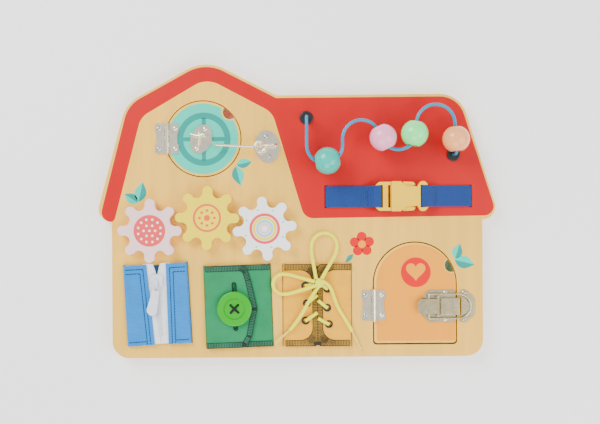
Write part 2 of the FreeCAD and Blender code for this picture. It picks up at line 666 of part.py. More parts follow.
def bead(label, centre, heading):
    """Wooden ball with a wide bore along the wire's heading and flats where it leaves."""
    body = new_body(label)
    radius = size("bead_rad")
    drawn = body.newObject("Sketcher::SketchObject", label + "_section")
    drawn.AttachmentSupport = [(plane_of(body, "XY_Plane"), "")]
    drawn.MapMode = "FlatFace"
    rim = math.sqrt(radius ** 2 - BEAD_FLAT ** 2)
    drawn.addGeometry([Part.LineSegment(V(-BEAD_FLAT, BEAD_BORE, 0), V(BEAD_FLAT, BEAD_BORE, 0)),
                       Part.LineSegment(V(BEAD_FLAT, BEAD_BORE, 0), V(BEAD_FLAT, rim, 0)),
                       Part.Arc(V(BEAD_FLAT, rim, 0), V(0, radius, 0), V(-BEAD_FLAT, rim, 0)),
                       Part.LineSegment(V(-BEAD_FLAT, rim, 0), V(-BEAD_FLAT, BEAD_BORE, 0))], False)
    turned = body.newObject("PartDesign::Revolution", label + "_ball")
    turned.Profile = drawn
    turned.ReferenceAxis = (drawn, ["H_Axis"])
    turned.Angle = 360
    body.Placement = FreeCAD.Placement(centre, FreeCAD.Rotation(Z_AXIS, heading))


SAG = 2.1
bead("bead_teal", on_loop(0, -80, LOOPS[0][2] - SAG), 10)
bead("bead_pink", on_loop(2, 204, LOOPS[2][2] - SAG), 294)
bead("bead_green", on_loop(2, -10.4, LOOPS[2][2] - SAG), 79.6)
bead("bead_peach", V(148.0, 65.3, WIRE_Z), 93.7)

# Strap and buckle
STRAP_LOW = STRAP_Y - size("strap_width") / 2
STRAP_HIGH = STRAP_Y + size("strap_width") / 2
FOLD_Z = 3.85
STRAP_Z = FACE + 0.8
BAR_TOP = 19.1
BAR_LOW = 13.4
left_end, right_end = STRAP_ENDS
strap_left_line = [(left_end + 9.5, FOLD_Z), (left_end, FOLD_Z), (left_end, STRAP_Z), (62, STRAP_Z), (67, 14.95),
                   (73.2, BAR_TOP), (79.5, BAR_TOP), (79.5, BAR_LOW), (67.6, BAR_LOW)]
strap_right_line = [(right_end - 9.5, FOLD_Z), (right_end, FOLD_Z), (right_end, STRAP_Z), (135.6, STRAP_Z),
                    (130.6, 14.95), (124.4, BAR_TOP), (117.6, BAR_TOP), (117.6, BAR_LOW), (129.6, BAR_LOW)]
solid("strap_left", strip(strap_left_line, size("strap_thick"), STRAP_LOW, STRAP_HIGH))
solid("strap_right", strip(strap_right_line, size("strap_thick"), STRAP_LOW, STRAP_HIGH))
HALF_BUCKLE = size("buckle_width") / 2
BUCKLE_LOW = FACE + 0.5
BUCKLE_TOP = BUCKLE_LOW + size("buckle_thick")
MIDDLE_LOW = 14.7
MIDDLE_TOP = 18.1


def mirrored(corners):
    """Outline about the strap's centre line from the corners of its upper half, left to right."""
    upper = [(x, STRAP_Y + y, radius) for x, y, radius in corners]
    lower = [(x, STRAP_Y - y, radius) for x, y, radius in corners[::-1]]
    return rounded(lower + upper)


def strap_box(low_x, high_x, half, low_z, high_z):
    return block((low_x, STRAP_Y - half, low_z), (high_x, STRAP_Y + half, high_z))


socket_corners = [(88.7, HALF_BUCKLE, 1.2), (97.8, HALF_BUCKLE, 1), (102.8, 9.6, 2), (111.2, 9.6, 2),
                  (113.0, 8.4, 1.5), (116.2, HALF_BUCKLE, 3.2), (120.6, HALF_BUCKLE, 3.2), (123.7, 10.4, 2)]
socket = extrude([mirrored(socket_corners)], BUCKLE_LOW + 0.6, BUCKLE_TOP - 0.6)
EASE = 0.5
inset = [(min(max(x, 88.7 + EASE), 123.7 - EASE), y - EASE, radius) for x, y, radius in socket_corners]
socket = socket.fuse(extrude([mirrored(inset)], BUCKLE_LOW, BUCKLE_TOP))
socket = socket.cut(strap_box(80, 112.4, 12.7, 14.4, 18.4))
socket = socket.cut(strap_box(116.2, 118.9, 10.6, 0, 30))
socket = socket.cut(strap_box(118.8, 130, 10.6, 18.2, 30)).cut(strap_box(118.8, 130, 10.6, 0, 14.3))
solid("buckle_socket", socket.removeSplitter())
plug_corners = [(74.2, 10.6, 1.5), (77.4, 13.6, 2.5), (88.2, 13.6, 0.5)]
plug = extrude([mirrored(plug_corners)], BUCKLE_LOW + 0.7, BUCKLE_TOP - 0.7)
plug = plug.cut(strap_box(70, 77.9, 10.6, 18.2, 30)).cut(strap_box(70, 77.9, 10.6, 0, 14.3))
plug = plug.cut(strap_box(77.9, 80.9, 10.6, 0, 30)).cut(strap_box(85.8, 88.0, 10.6, 0, 30))
plug = plug.fuse(strap_box(88.0, 91.5, 12.4, MIDDLE_LOW, MIDDLE_TOP))
ribs = [strap_box(81.6 + 1.1 * i, 82.1 + 1.1 * i, 9.6, 19.6, 20.1) for i in range(4)]
guide = extrude([mirrored([(91, 2.6, 0), (109.5, 2.6, 1.2)])], MIDDLE_LOW, MIDDLE_TOP)
solid("buckle_plug", plug.fuse([guide] + ribs).removeSplitter())


def arm(side):
    corners = [(91.9, 9.2, 0.6), (104, 9.0, 2), (110.8, 10.2, 1), (111.9, 11.0, 0.8), (110.0, 13.4, 2.2),
               (100.4, 13.9, 0.6), (99.9, 12.3, 0.2), (91.9, 12.3, 0.6)]
    outline = rounded([(x, STRAP_Y + side * y, radius) for x, y, radius in corners])
    return extrude([outline], MIDDLE_LOW, MIDDLE_TOP)


solid("buckle_arm_upper", arm(1))
solid("buckle_arm_lower", arm(-1))

# Cloth panels
CLOTH = size("fabric_thick")


def cloth(panel, side, inner_x, level):
    """Half panel: tucked under the board, up through its slot and across to inner_x."""
    edge = side * (panel[3] - 0.6)
    points = [(edge - side * 9.5, FOLD_Z), (edge, FOLD_Z), (edge, level), (inner_x, level)]
    return strip(points, CLOTH, -panel[4], panel[4])


def on_board(label, shape, panel):
    piece = solid(label, shape)
    piece.Placement = placed(panel).multiply(shape.Placement)
    return piece


ZIP_LINE = 1.2
TAPE_LOW = 13.7
TAPE_TOP = 14.3
ZIP_CLOTH_Z = 15.1
zip_left = cloth(ZIP, -1, -4.0, ZIP_CLOTH_Z)
left_trim = Part.makePolygon([V(-8.2, 39, 0), V(-3, 39, 0), V(-3, -39, 0), V(-4.4, -39, 0), V(-8.2, 39, 0)])
zip_left = zip_left.cut(Part.Face(left_trim).extrude(V(0, 0, 30)))
backing = block((-29.3, -37, FACE + 0.1), (22, 37, FACE + 0.8))
on_board("zip_panel_left", zip_left.fuse(backing), ZIP)
zip_right = cloth(ZIP, 1, 8.6, ZIP_CLOTH_Z)
right_trim = Part.makePolygon([V(8, 39, 0), V(10.3, 39, 0), V(8.7, -39, 0), V(8, -39, 0), V(8, 39, 0)])
on_board("zip_panel_right", zip_right.cut(Part.Face(right_trim).extrude(V(0, 0, 30))), ZIP)
V_FOOT = 27.2
V_HALF = 3.4
TAPE_REACH = 13.0
TAPE_END = 38.8


def tape(side):
    def at(offset, y):
        return V(ZIP_LINE + side * offset, y, 0)

    corners = [at(0.15, -37.4), at(TAPE_REACH, -37.4), at(TAPE_REACH, TAPE_END), at(V_HALF, TAPE_END),
               at(0.15, V_FOOT)]
    face = Part.Face(Part.makePolygon(corners + [corners[0]]))
    shape = face.extrude(V(0, 0, TAPE_TOP - TAPE_LOW))
    shape.translate(V(0, 0, TAPE_LOW))
    return shape


on_board("zip_tapes", group([tape(-1), tape(1)]), ZIP)
SLIDER_Y = 22.2
TOOTH_PITCH = 2.2
teeth = []
for i in range(21):
    y = 14.0 - TOOTH_PITCH * i
    for side in (-1, 1):
        low, high = sorted((ZIP_LINE - side * 0.5, ZIP_LINE + side * 2.1))
        shift = TOOTH_PITCH / 4 * side
        teeth.append(block((low, y + shift - 0.45, TAPE_TOP), (high, y + shift + 0.45, TAPE_TOP + 1.1)))
on_board("zip_teeth", group(teeth), ZIP)
slider_outline = rounded([(ZIP_LINE - 4.6, SLIDER_Y - 5.6, 2.2), (ZIP_LINE + 4.6, SLIDER_Y - 5.6, 2.2),
                          (ZIP_LINE + 6.1, SLIDER_Y + 3.5, 3), (ZIP_LINE + 3.0, SLIDER_Y + 6.2, 2.2),
                          (ZIP_LINE - 3.0, SLIDER_Y + 6.2, 2.2), (ZIP_LINE - 6.1, SLIDER_Y + 3.5, 3)])
slider = extrude([slider_outline], 15.9, 17.1)
slider = slider.makeFillet(0.5, [edge for edge in slider.Edges if edge.BoundBox.ZMin > 17.05])
slider = slider.fuse(extrude([slider_outline], 13.0, 13.45))
slider = slider.fuse(cylinder(0.35, 3.2, (ZIP_LINE, SLIDER_Y + 5.85, 13.1)))
CROWN_HALF = 0.8
crown = block((ZIP_LINE - CROWN_HALF, SLIDER_Y - 7.0, 16.6), (ZIP_LINE + CROWN_HALF, SLIDER_Y + 1.8, 20.4))
crown = crown.makeFillet(1.2, [edge for edge in crown.Edges
                               if edge.BoundBox.ZMin > 20.3 and edge.BoundBox.XLength > 1])
crown = crown.cut(block((ZIP_LINE - 2, SLIDER_Y - 5.9, 17.1), (ZIP_LINE + 2, SLIDER_Y + 0.4, 19.2)))
on_board("zip_slider", slider.fuse(crown).removeSplitter(), ZIP)
PULL_Y = SLIDER_Y - 4.6
PULL_Z = 18.15
PULL_TILT = -14.5
pull_corners = [(-2.8, -3.4, 0.6), (2.8, -3.4, 0.6), (3.4, -5.6, 1.5), (5.0, -24.5, 4.5), (0, -30.6, 4.2),
                (-5.0, -24.5, 4.5), (-3.4, -5.6, 1.5)]
pull = extrude([rounded(pull_corners)], -0.7, 0.7)
for side in (-1, 1):
    low, high = sorted((side * 1.75, side * 2.75))
    pull = pull.fuse(block((low, -4.2, -0.55), (high, 0.5, 0.55)))
pull = pull.cut(block((-1.75, -4.6, -2), (1.75, -1, 2)))
pull = pull.fuse(cylinder(0.6, 5, (-2.5, 0, 0), (1, 0, 0))).removeSplitter()
pull_piece = solid("zip_pull", pull)
pull_piece.Placement = placed(ZIP).multiply(
    FreeCAD.Placement(V(ZIP_LINE, PULL_Y, PULL_Z), FreeCAD.Rotation(Z_AXIS, PULL_TILT)))

# Button panel
PANEL_Z = FACE + 1.4
edge_x = BUTTON[3] - 0.6
button_line = [(-edge_x + 9.5, FOLD_Z), (-edge_x, FOLD_Z), (-edge_x, PANEL_Z), (edge_x, PANEL_Z),
               (edge_x, FOLD_Z), (edge_x - 9.5, FOLD_Z)]
button_cloth = strip(button_line, CLOTH, -BUTTON[4], BUTTON[4])
BUTTON_AT = (-3.5, -1.8)
button_cloth = button_cloth.cut(cylinder(1.0, 3, (BUTTON_AT[0], BUTTON_AT[1], FACE)))
on_board("button_panel", button_cloth, BUTTON)
FLAP_LOW = PANEL_Z + CLOTH / 2 + 0.3
FLAP_TOP = FLAP_LOW + CLOTH
flap_corners = [(-31.2, -38.9, 0.8), (5.5, -38.9, 6), (11.6, -29.5, 8), (17.8, -3, 9), (12.4, 25, 10),
                (8.6, 38.7, 9), (-31.2, 38.7, 0.8)]
flap = extrude([rounded(flap_corners), slot_outline(-3.2, 0, 21.4, 1.1, 90)], FLAP_LOW, FLAP_TOP)
on_board("button_flap", flap, BUTTON)
BUTTON_LOW = FLAP_TOP + 0.5
HOLE_AT = 3.45
button_rad = size("button_rad")
button_high = BUTTON_LOW + size("button_thick")
disc = cylinder(button_rad, size("button_thick"), (BUTTON_AT[0], BUTTON_AT[1], BUTTON_LOW))
disc = disc.makeFillet(1.1, disc.Edges)
dish = cylinder(button_rad * 0.62, 5, (BUTTON_AT[0], BUTTON_AT[1], button_high - 1.1))
disc = disc.cut(dish)
thread = []
quarters = [(1, 1), (-1, 1), (-1, -1), (1, -1)]
corners = [(BUTTON_AT[0] + side * HOLE_AT, BUTTON_AT[1] + end * HOLE_AT) for side, end in quarters]
thread_top = button_high - 0.6
for x, y in corners:
    disc = disc.cut(cylinder(1.25, 10, (x, y, BUTTON_LOW - 2)))
    thread.append(cylinder(0.75, thread_top - BUTTON_LOW + 0.35, (x, y, BUTTON_LOW - 0.35)))
for start, end in ((corners[0], corners[2]), (corners[1], corners[3])):
    for level in (thread_top, BUTTON_LOW - 0.25):
        low = V(start[0], start[1], level)
        high = V(end[0], end[1], level)
        rod_rad = 0.5 if level > button_high - 2 else 0.2
        thread.append(Part.makeCylinder(rod_rad, (high - low).Length, low, high - low))
thread.append(cylinder(0.8, BUTTON_LOW - 12.9, (BUTTON_AT[0], BUTTON_AT[1], 12.8)))
on_board("button", disc.removeSplitter(), BUTTON)
on_board("button_thread", thread[0].fuse(thread[1:]), BUTTON)

# Lace panels
EYELETS = [(7.3, -71.3), (8.8, -87.9), (7.4, -104.3), (28.2, -74.2), (28.0, -92.2), (29.5, -107.7)]
eyelet_places = [(x - LACE[0], y - LACE[1]) for x, y in EYELETS]
for label, side, inner in (("lace_panel_left", -1, 0.1), ("lace_panel_right", 1, 0.7)):
    piece = cloth(LACE, side, inner, PANEL_Z)
    for x, y in eyelet_places:
        piece = piece.cut(cylinder(2.9, 4, (x, y, FACE)))
    on_board(label, piece, LACE)


def eyelet(x, y):
    low = PANEL_Z - CLOTH / 2
    top = PANEL_Z + CLOTH / 2
    ring = cylinder(2.85, CLOTH, (x, y, low)).fuse(cylinder(3.8, 0.4, (x, y, top)))
    ring = ring.fuse(cylinder(3.6, 0.4, (x, y, low - 0.4)))
    return ring.cut(cylinder(2.3, 9, (x, y, FACE - 1))).removeSplitter()


on_board("lace_eyelets", group([eyelet(x, y) for x, y in eyelet_places]), LACE)
RUNG_END = PANEL_Z + CLOTH / 2 + 1.4
RUNG_TOP = RUNG_END + 1.1
SEAM_POINTS = [(15.6, -69.9), (18.4, -80.1), (18.5, -96.7), (23.4, -70.8), (19.5, -85.2), (19.5, -102.2)]


def lace_tube(points, radius):
    return tube(route_wire(points)[0], radius)


rungs = []
for (start_x, start_y), (end_x, end_y) in zip(EYELETS, SEAM_POINTS):
    across = V(end_x - start_x, end_y - start_y, 0) / 2
    middle = (start_x + across.x, start_y + across.y, RUNG_TOP)
    spots = [(start_x, start_y, RUNG_END), middle, (end_x, end_y, RUNG_END)]
    rungs.append(lace_tube(spots, size("lace_rad") - 0.1))
solid("lace_rungs", group(rungs))
KNOT = (20.7, -68.3, 18.6)
knot = Part.makeTorus(2.6, 1.8, V(*KNOT), V(0.5, 0.2, 1)).fuse(Part.makeSphere(2.9, V(*KNOT)))
solid("lace_knot", knot)
LACES = {
    "lace_top_loop": [(17.6, -64.6, 18.6), (15.9, -54.5, 17.2), (14.2, -44.5, 15.4), (13.1, -37.0, 14.3),
                      (14.4, -27.1, 14), (22.3, -21.0, 14), (32.2, -22.3, 14), (38.3, -30.2, 14),
                      (37.0, -40.1, 14.6), (32.2, -48.4, 16.2), (27.5, -56.3, 17.6), (22.8, -64.2, 18.8)],
    "lace_left_loop": [(16.2, -67.0, 19.2), (7.8, -64.7, 18.4), (-1.0, -62.3, 16.9), (-9.6, -60.0, 16.0),
                       (-17.5, -60.0, 15.9), (-23.1, -65.6, 15.9), (-23.1, -73.4, 15.9), (-17.5, -79.0, 15.9),
                       (-9.6, -79.0, 16.0), (0.4, -76.0, 17.8), (9.6, -73.1, 20.8), (17.2, -70.6, 20.4)],
    "lace_left_tail": [(19.6, -71.8, 18.2), (13.4, -80.6, 20.2), (8.6, -89.3, 19.6), (4.0, -97.4, 17.4),
                       (-1.4, -105.8, 16.0), (-7.4, -112.8, 15.8)],
    "lace_right_tail": [(23.0, -66.4, 19.2), (29.2, -69.6, 18.6), (33.0, -76.6, 17.4), (35.4, -85.4, 16.0),
                        (39.9, -95.2, 15.8), (46.1, -104.7, 15.8), (51.2, -114.2, 15.7)],
}
LACE_TIPS = [[(-7.4, -112.8, 15.8), (-14.5, -119.0, 15.6), (-21.2, -124.9, 15.6)],
             [(51.2, -114.2, 15.7), (55.2, -122.6, 14.9), (59.6, -131.4, 13.3)]]
for label, points in LACES.items():
    wire, radii = route_wire(points)
    cord = tube(wire, size("lace_rad"))
    solid(label, cord)
    expected = math.pi * size("lace_rad") ** 2 * wire.Length
    print(label, "bend radii", [round(radius, 1) for radius in radii], "length", round(wire.Length, 1),
          "volume", round(cord.Volume), "section times length", round(expected))
solid("lace_tips", group([lace_tube(points, size("tip_rad")) for points in LACE_TIPS]))


# Check and write
doc.recompute()
PARTS = [item for item in doc.Objects if item.TypeId in ("PartDesign::Body", "Part::Feature")]
for item in PARTS:
    shape = item.Shape
    broken = [word for word in item.State if word in ("Invalid", "Error")]
    if broken or shape.isNull() or not shape.isValid() or not shape.Solids:
        raise ValueError("bad shape: " + item.Label)
    shape.exportStep(os.path.join("parts", item.Label + ".step"))
print("parts written:", len(PARTS))
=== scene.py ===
"""Studio view of the wooden busy board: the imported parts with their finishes, prints, cloth and laces."""
import math
import bpy
from mathutils import Matrix, Vector, noise


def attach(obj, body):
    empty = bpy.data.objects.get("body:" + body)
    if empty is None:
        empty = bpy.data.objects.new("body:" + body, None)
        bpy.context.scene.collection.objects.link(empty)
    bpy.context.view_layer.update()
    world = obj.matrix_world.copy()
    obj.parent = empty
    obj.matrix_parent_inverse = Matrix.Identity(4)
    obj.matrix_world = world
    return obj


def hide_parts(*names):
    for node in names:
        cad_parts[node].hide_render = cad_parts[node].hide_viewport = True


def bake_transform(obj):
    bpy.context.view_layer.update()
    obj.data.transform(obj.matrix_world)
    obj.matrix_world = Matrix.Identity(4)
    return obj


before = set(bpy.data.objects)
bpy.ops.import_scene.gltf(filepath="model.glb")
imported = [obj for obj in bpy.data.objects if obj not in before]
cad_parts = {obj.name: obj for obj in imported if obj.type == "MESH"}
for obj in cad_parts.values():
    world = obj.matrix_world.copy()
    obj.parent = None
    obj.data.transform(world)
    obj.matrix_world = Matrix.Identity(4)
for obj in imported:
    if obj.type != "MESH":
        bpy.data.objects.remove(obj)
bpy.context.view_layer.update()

MM = 0.001
FACE = 12.0

# Camera and light
PIXEL_MM = 0.95
PHOTO_WIDTH = 600
PHOTO_CENTRE = (2.85, -1.4)
SENSOR = 36
CAMERA_AWAY = 700.0
camera = bpy.data.objects.new("photo_camera", bpy.data.cameras.new("photo_camera"))
bpy.context.collection.objects.link(camera)
camera.location = (PHOTO_CENTRE[0] * MM, PHOTO_CENTRE[1] * MM, (FACE + CAMERA_AWAY) * MM)
camera.rotation_euler = (0, 0, math.radians(-0.4))
camera.data.sensor_width = SENSOR
camera.data.lens = SENSOR * CAMERA_AWAY / (PHOTO_WIDTH * PIXEL_MM)
bpy.context.scene.camera = camera


def area_light(name, place, aim, width, watts, tint=(1, 1, 1)):
    data = bpy.data.lights.new(name, "AREA")
    data.size = width
    data.energy = watts
    data.color = tint
    lamp = bpy.data.objects.new(name, data)
    bpy.context.collection.objects.link(lamp)
    lamp.location = place
    lamp.rotation_euler = (Vector(aim) - Vector(place)).to_track_quat("-Z", "Y").to_euler()


area_light("key_light", (-0.85, 0.85, 0.95), (0, 0, 0), 0.8, 24)
area_light("fill_light", (1.05, -0.35, 0.95), (0, 0, 0), 1.0, 15)
area_light("front_light", (-0.1, -1.15, 1.0), (0, 0, 0), 1.0, 15)
world = bpy.data.worlds.new("studio")
world.use_nodes = True
world.node_tree.nodes["Background"].inputs[0].default_value = (1, 1, 1, 1)
world.node_tree.nodes["Background"].inputs[1].default_value = 0.8
bpy.context.scene.world = world


# Materials
def linear(colour):
    """Screen colour 0 to 255 to scene colour."""
    parts = [value / 255 for value in colour]
    return tuple(part / 12.92 if part <= 0.04045 else ((part + 0.055) / 1.055) ** 2.4 for part in parts)


class Surface:
    """A principled material with procedural colour and relief in object metres."""

    def __init__(self, name, colour, rough=0.5, metal=0.0, coat=0.0, sheen=0.0):
        self.material = bpy.data.materials.new(name)
        self.material.use_nodes = True
        self.tree = self.material.node_tree
        self.shader = self.tree.nodes["Principled BSDF"]
        self.colour = linear(colour) + (1,)
        self.put("Base Color", self.colour)
        self.put("Roughness", rough)
        self.put("Metallic", metal)
        self.put("Coat Weight", coat)
        self.put("Coat Roughness", 0.12)
        self.put("Specular IOR Level", 0.35)
        self.put("Sheen Weight", sheen)
        self.rough = rough
        self.coordinates = self.node("ShaderNodeTexCoord").outputs["Object"]
        self.tint = None
        self.relief = None

    def put(self, socket, value):
        self.shader.inputs[socket].default_value = value

    def node(self, kind, **values):
        made = self.tree.nodes.new(kind)
        for key, value in values.items():
            setattr(made, key, value)
        return made

    def link(self, start, end):
        self.tree.links.new(start, end)

    def mapped(self, stretch=(1, 1, 1), turn=0.0):
        mapping = self.node("ShaderNodeMapping")
        mapping.inputs["Rotation"].default_value = (0, 0, math.radians(turn))
        mapping.inputs["Scale"].default_value = stretch
        self.link(self.coordinates, mapping.inputs["Vector"])
        return mapping.outputs["Vector"]

    def clouds(self, size_mm, stretch=(1, 1, 1), turn=0.0, detail=4.0):
        texture = self.node("ShaderNodeTexNoise")
        texture.inputs["Scale"].default_value = 1 / (size_mm * MM)
        texture.inputs["Detail"].default_value = detail
        self.link(self.mapped(stretch, turn), texture.inputs["Vector"])
        return texture.outputs["Fac"]

    def bands(self, pitch_mm, turn=0.0, axis="Y", waver=0.0):
        texture = self.node("ShaderNodeTexWave", wave_type="BANDS", bands_direction=axis)
        texture.inputs["Scale"].default_value = 2 * math.pi / 20 / (pitch_mm * MM)
        texture.inputs["Distortion"].default_value = waver
        texture.inputs["Detail Scale"].default_value = 1.0
        self.link(self.mapped((1, 1, 1), turn), texture.inputs["Vector"])
        return texture.outputs["Fac"]

    def product(self, first, second, kind="MULTIPLY"):
        joined = self.node("ShaderNodeMath", operation=kind)
        self.link(first, joined.inputs[0])
        self.link(second, joined.inputs[1])
        return joined.outputs[0]

    def shade(self, value, low, high, dark, light):
        """Mix the colour so far between two tints by a value."""
        span = self.node("ShaderNodeMapRange")
        span.inputs["From Min"].default_value = low
        span.inputs["From Max"].default_value = high
        self.link(value, span.inputs["Value"])
        tints = self.node("ShaderNodeMix", data_type="RGBA")
        tints.inputs["A"].default_value = (dark, dark, dark, 1)
        tints.inputs["B"].default_value = (light, light, light, 1)
        self.link(span.outputs[0], tints.inputs["Factor"])
        joined = self.node("ShaderNodeMix", data_type="RGBA", blend_type="MULTIPLY")
        joined.inputs["Factor"].default_value = 1
        if self.tint is None:
            joined.inputs["A"].default_value = self.colour
        else:
            self.link(self.tint, joined.inputs["A"])
        self.link(tints.outputs["Result"], joined.inputs["B"])
        self.tint = joined.outputs["Result"]
        self.link(self.tint, self.shader.inputs["Base Color"])
        return self

    def raise_by(self, value, depth_mm, strength=1.0):
        bump = self.node("ShaderNodeBump")
        bump.inputs["Strength"].default_value = strength
        bump.inputs["Distance"].default_value = depth_mm * MM
        self.link(value, bump.inputs["Height"])
        if self.relief is not None:
            self.link(self.relief, bump.inputs["Normal"])
        self.relief = bump.outputs["Normal"]
        self.link(self.relief, self.shader.inputs["Normal"])
        return self

    def wear(self, size_mm, low, high):
        """Roughness that varies a little over the surface."""
        span = self.node("ShaderNodeMapRange")
        span.inputs["To Min"].default_value = low
        span.inputs["To Max"].default_value = high
        self.link(self.clouds(size_mm), span.inputs["Value"])
        self.link(span.outputs[0], self.shader.inputs["Roughness"])
        return self


def birch(name):
    """Pale birch ply: grain up the board on its faces and glued layers on its edges."""
    made = Surface(name, (255, 199, 76), 0.45, coat=0.05)
    made.shade(made.clouds(9, (1, 0.06, 1), detail=6), 0.3, 0.7, 0.90, 1.04)
    made.shade(made.clouds(1.1, (1, 0.03, 1), detail=3), 0.25, 0.75, 0.95, 1.03)
    made.shade(made.clouds(60, (1, 0.3, 1)), 0.3, 0.7, 0.95, 1.03)
    split = made.node("ShaderNodeSeparateXYZ")
    made.link(made.node("ShaderNodeNewGeometry").outputs["Normal"], split.inputs[0])
    upright = made.node("ShaderNodeMath", operation="ABSOLUTE")
    made.link(split.outputs["Z"], upright.inputs[0])
    edge = made.node("ShaderNodeMath", operation="LESS_THAN")
    edge.inputs[1].default_value = 0.5
    made.link(upright.outputs[0], edge.inputs[0])
    layers = made.bands(3.0, axis="Z")
    dark = made.product(edge.outputs[0], layers)
    made.shade(dark, 0.0, 1.0, 1.0, 0.62)
    made.raise_by(made.clouds(0.8, (1, 0.04, 1)), 0.05, 0.35)
    return made.wear(25, 0.36, 0.5).material


def paint(name, colour, rough=0.42):
    """Screen-printed or sprayed satin paint with the wood's grain just showing."""
    made = Surface(name, colour, rough, coat=0.04)
    made.shade(made.clouds(14, (1, 0.1, 1)), 0.3, 0.7, 0.975, 1.02)
    made.raise_by(made.clouds(0.7, (1, 0.08, 1)), 0.03, 0.3)
    return made.wear(18, rough - 0.05, rough + 0.08).material


def gloss(name, colour, rough=0.2):
    """Lacquered wood or moulded plastic."""
    made = Surface(name, colour, rough, coat=0.35)
    made.shade(made.clouds(7), 0.3, 0.7, 0.96, 1.03)
    made.raise_by(made.clouds(1.6), 0.03, 0.25)
    return made.wear(9, rough - 0.04, rough + 0.1).material


def metal(name, colour, rough=0.22):
    """Thin plated sheet or wire with fine rubbing marks."""
    made = Surface(name, colour, rough, metal=1.0)
    made.shade(made.clouds(5), 0.3, 0.7, 0.9, 1.05)
    made.raise_by(made.clouds(0.35, (1, 0.12, 1)), 0.012, 0.35)
    return made.wear(4, rough - 0.06, rough + 0.14).material


def ribbed_cloth(name, colour, pitch, turn):
    """Fine corded cloth, its ribs across the panel."""
    made = Surface(name, colour, 0.85, sheen=0.25)
    ribs = made.bands(pitch, -turn, "Y", 0.25)
    made.shade(ribs, 0.0, 1.0, 0.86, 1.05)
    made.shade(made.clouds(12), 0.3, 0.7, 0.93, 1.05)
    made.shade(made.clouds(0.5), 0.3, 0.7, 0.93, 1.05)
    made.raise_by(ribs, 0.22, 0.7)
    return made.raise_by(made.clouds(0.45), 0.08, 0.5).material


def felt(name, colour):
    made = Surface(name, colour, 0.92, sheen=0.35)
    made.shade(made.clouds(14), 0.3, 0.7, 0.9, 1.06)
    made.shade(made.clouds(0.5), 0.3, 0.7, 0.86, 1.08)
    made.raise_by(made.clouds(3.5), 0.35, 0.4)
    return made.raise_by(made.clouds(0.4), 0.15, 0.7).material


def webbing(name, colour):
    """Woven tape: small checks that run along and across the strap."""
    made = Surface(name, colour, 0.6, sheen=0.15)
    along = made.bands(1.5, axis="X")
    across = made.bands(1.5, axis="Y")
    weave = made.product(along, across)
    made.shade(weave, 0.0, 0.8, 0.84, 1.12)
    made.shade(made.clouds(15), 0.3, 0.7, 0.93, 1.06)
    return made.raise_by(weave, 0.25, 0.8).material


def thread(name, colour, rough=0.75):
    made = Surface(name, colour, rough, sheen=0.2)
    made.shade(made.clouds(0.5), 0.3, 0.7, 0.82, 1.12)
    return made.raise_by(made.clouds(0.3), 0.1, 0.6).material


def braid(name, colour):
    """Round braided lace: crossing strands along the cord."""
    made = Surface(name, colour, 0.62, sheen=0.2)
    one = made.bands(1.3, 45, "X", 0.3)
    other = made.bands(1.3, -45, "X", 0.3)
    cross = made.product(one, other)
    made.shade(cross, 0.0, 0.7, 0.9, 1.07)
    return made.raise_by(cross, 0.18, 0.7).material


BIRCH = birch("birch")
RED = paint("red_paint", (196, 3, 5))
BADGE_RED = paint("badge_red", (229, 1, 1))
LIGHT_TEAL = paint("light_teal", (28, 211, 180))
DARK_TEAL = paint("dark_teal", (1, 149, 137))
DOOR_YELLOW = paint("door_yellow", (255, 162, 1))
RECESS_PINK = paint("recess_pink", (232, 150, 140))
RECESS_TEAL = paint("recess_teal", (110, 178, 155))
PINK = paint("pink_paint", (255, 215, 215))
SUN_YELLOW = paint("sun_yellow", (255, 228, 1))
ORANGE = paint("orange_paint", (245, 95, 60))
WHITE = paint("white_paint", (255, 255, 255))
SOFT_PINK = paint("soft_pink", (246, 205, 205))
SKY = paint("sky_blue", (155, 215, 222))
CORAL = paint("coral_paint", (240, 80, 80))
BRASS = metal("pale_brass", (252, 244, 222), 0.2)
LATCH = metal("latch_plate", (214, 200, 158), 0.24)
STEEL = metal("plated_steel", (205, 203, 198), 0.2)
BLACK_PLASTIC = gloss("black_plastic", (30, 30, 34), 0.35)
TEAL_WIRE = gloss("teal_coating", (0, 140, 178), 0.3)
BUCKLE_YELLOW = gloss("buckle_plastic", (255, 204, 1), 0.36)
BUTTON_GREEN = gloss("button_plastic", (20, 166, 4), 0.28)
WHITE_PLASTIC = gloss("white_plastic", (232, 232, 244), 0.35)
WEBBING = webbing("blue_webbing", (1, 56, 127))
WEBBING_THREAD = thread("webbing_thread", (6, 74, 132))
ZIP_CLOTH = ribbed_cloth("zip_cloth", (1, 134, 216), 1.25, 3.0)
# Backing seen through the zip's V: dark blue cloth whose colour is darkened further as painted shade for the
# hollow under the tapes.
SHADED_ZIP_BACKING = ribbed_cloth("zip_backing_painted_shade", (10, 74, 112), 1.25, 3.0)
GREEN_CLOTH = felt("green_cloth", (13, 135, 82))
GOLD_CLOTH = ribbed_cloth("gold_cloth", (255, 182, 1), 1.1, 0.0)
TAPE_CLOTH = ribbed_cloth("tape_cloth", (253, 255, 255), 0.7, 3.0)
SERGED_GREEN = felt("serged_green", (48, 118, 88))
SERGED_GOLD = ribbed_cloth("serged_gold", (186, 142, 44), 1.1, 0.0)
BRAID = braid("yellow_braid", (255, 255, 1))
TIP = gloss("lace_tip", (232, 218, 96), 0.25)
TEAL_LACQUER = gloss("teal_lacquer", (3, 188, 170))
PINK_LACQUER = gloss("pink_lacquer", (255, 165, 202))
GREEN_LACQUER = gloss("green_lacquer", (117, 255, 146))
PEACH_LACQUER = gloss("peach_lacquer", (255, 172, 110))
NAVY_THREAD = thread("navy_thread", (6, 28, 58))
GREEN_THREAD = thread("green_thread", (6, 44, 30))
BROWN_THREAD = thread("brown_thread", (56, 40, 8))
BLACK_THREAD = thread("black_thread", (8, 8, 10))


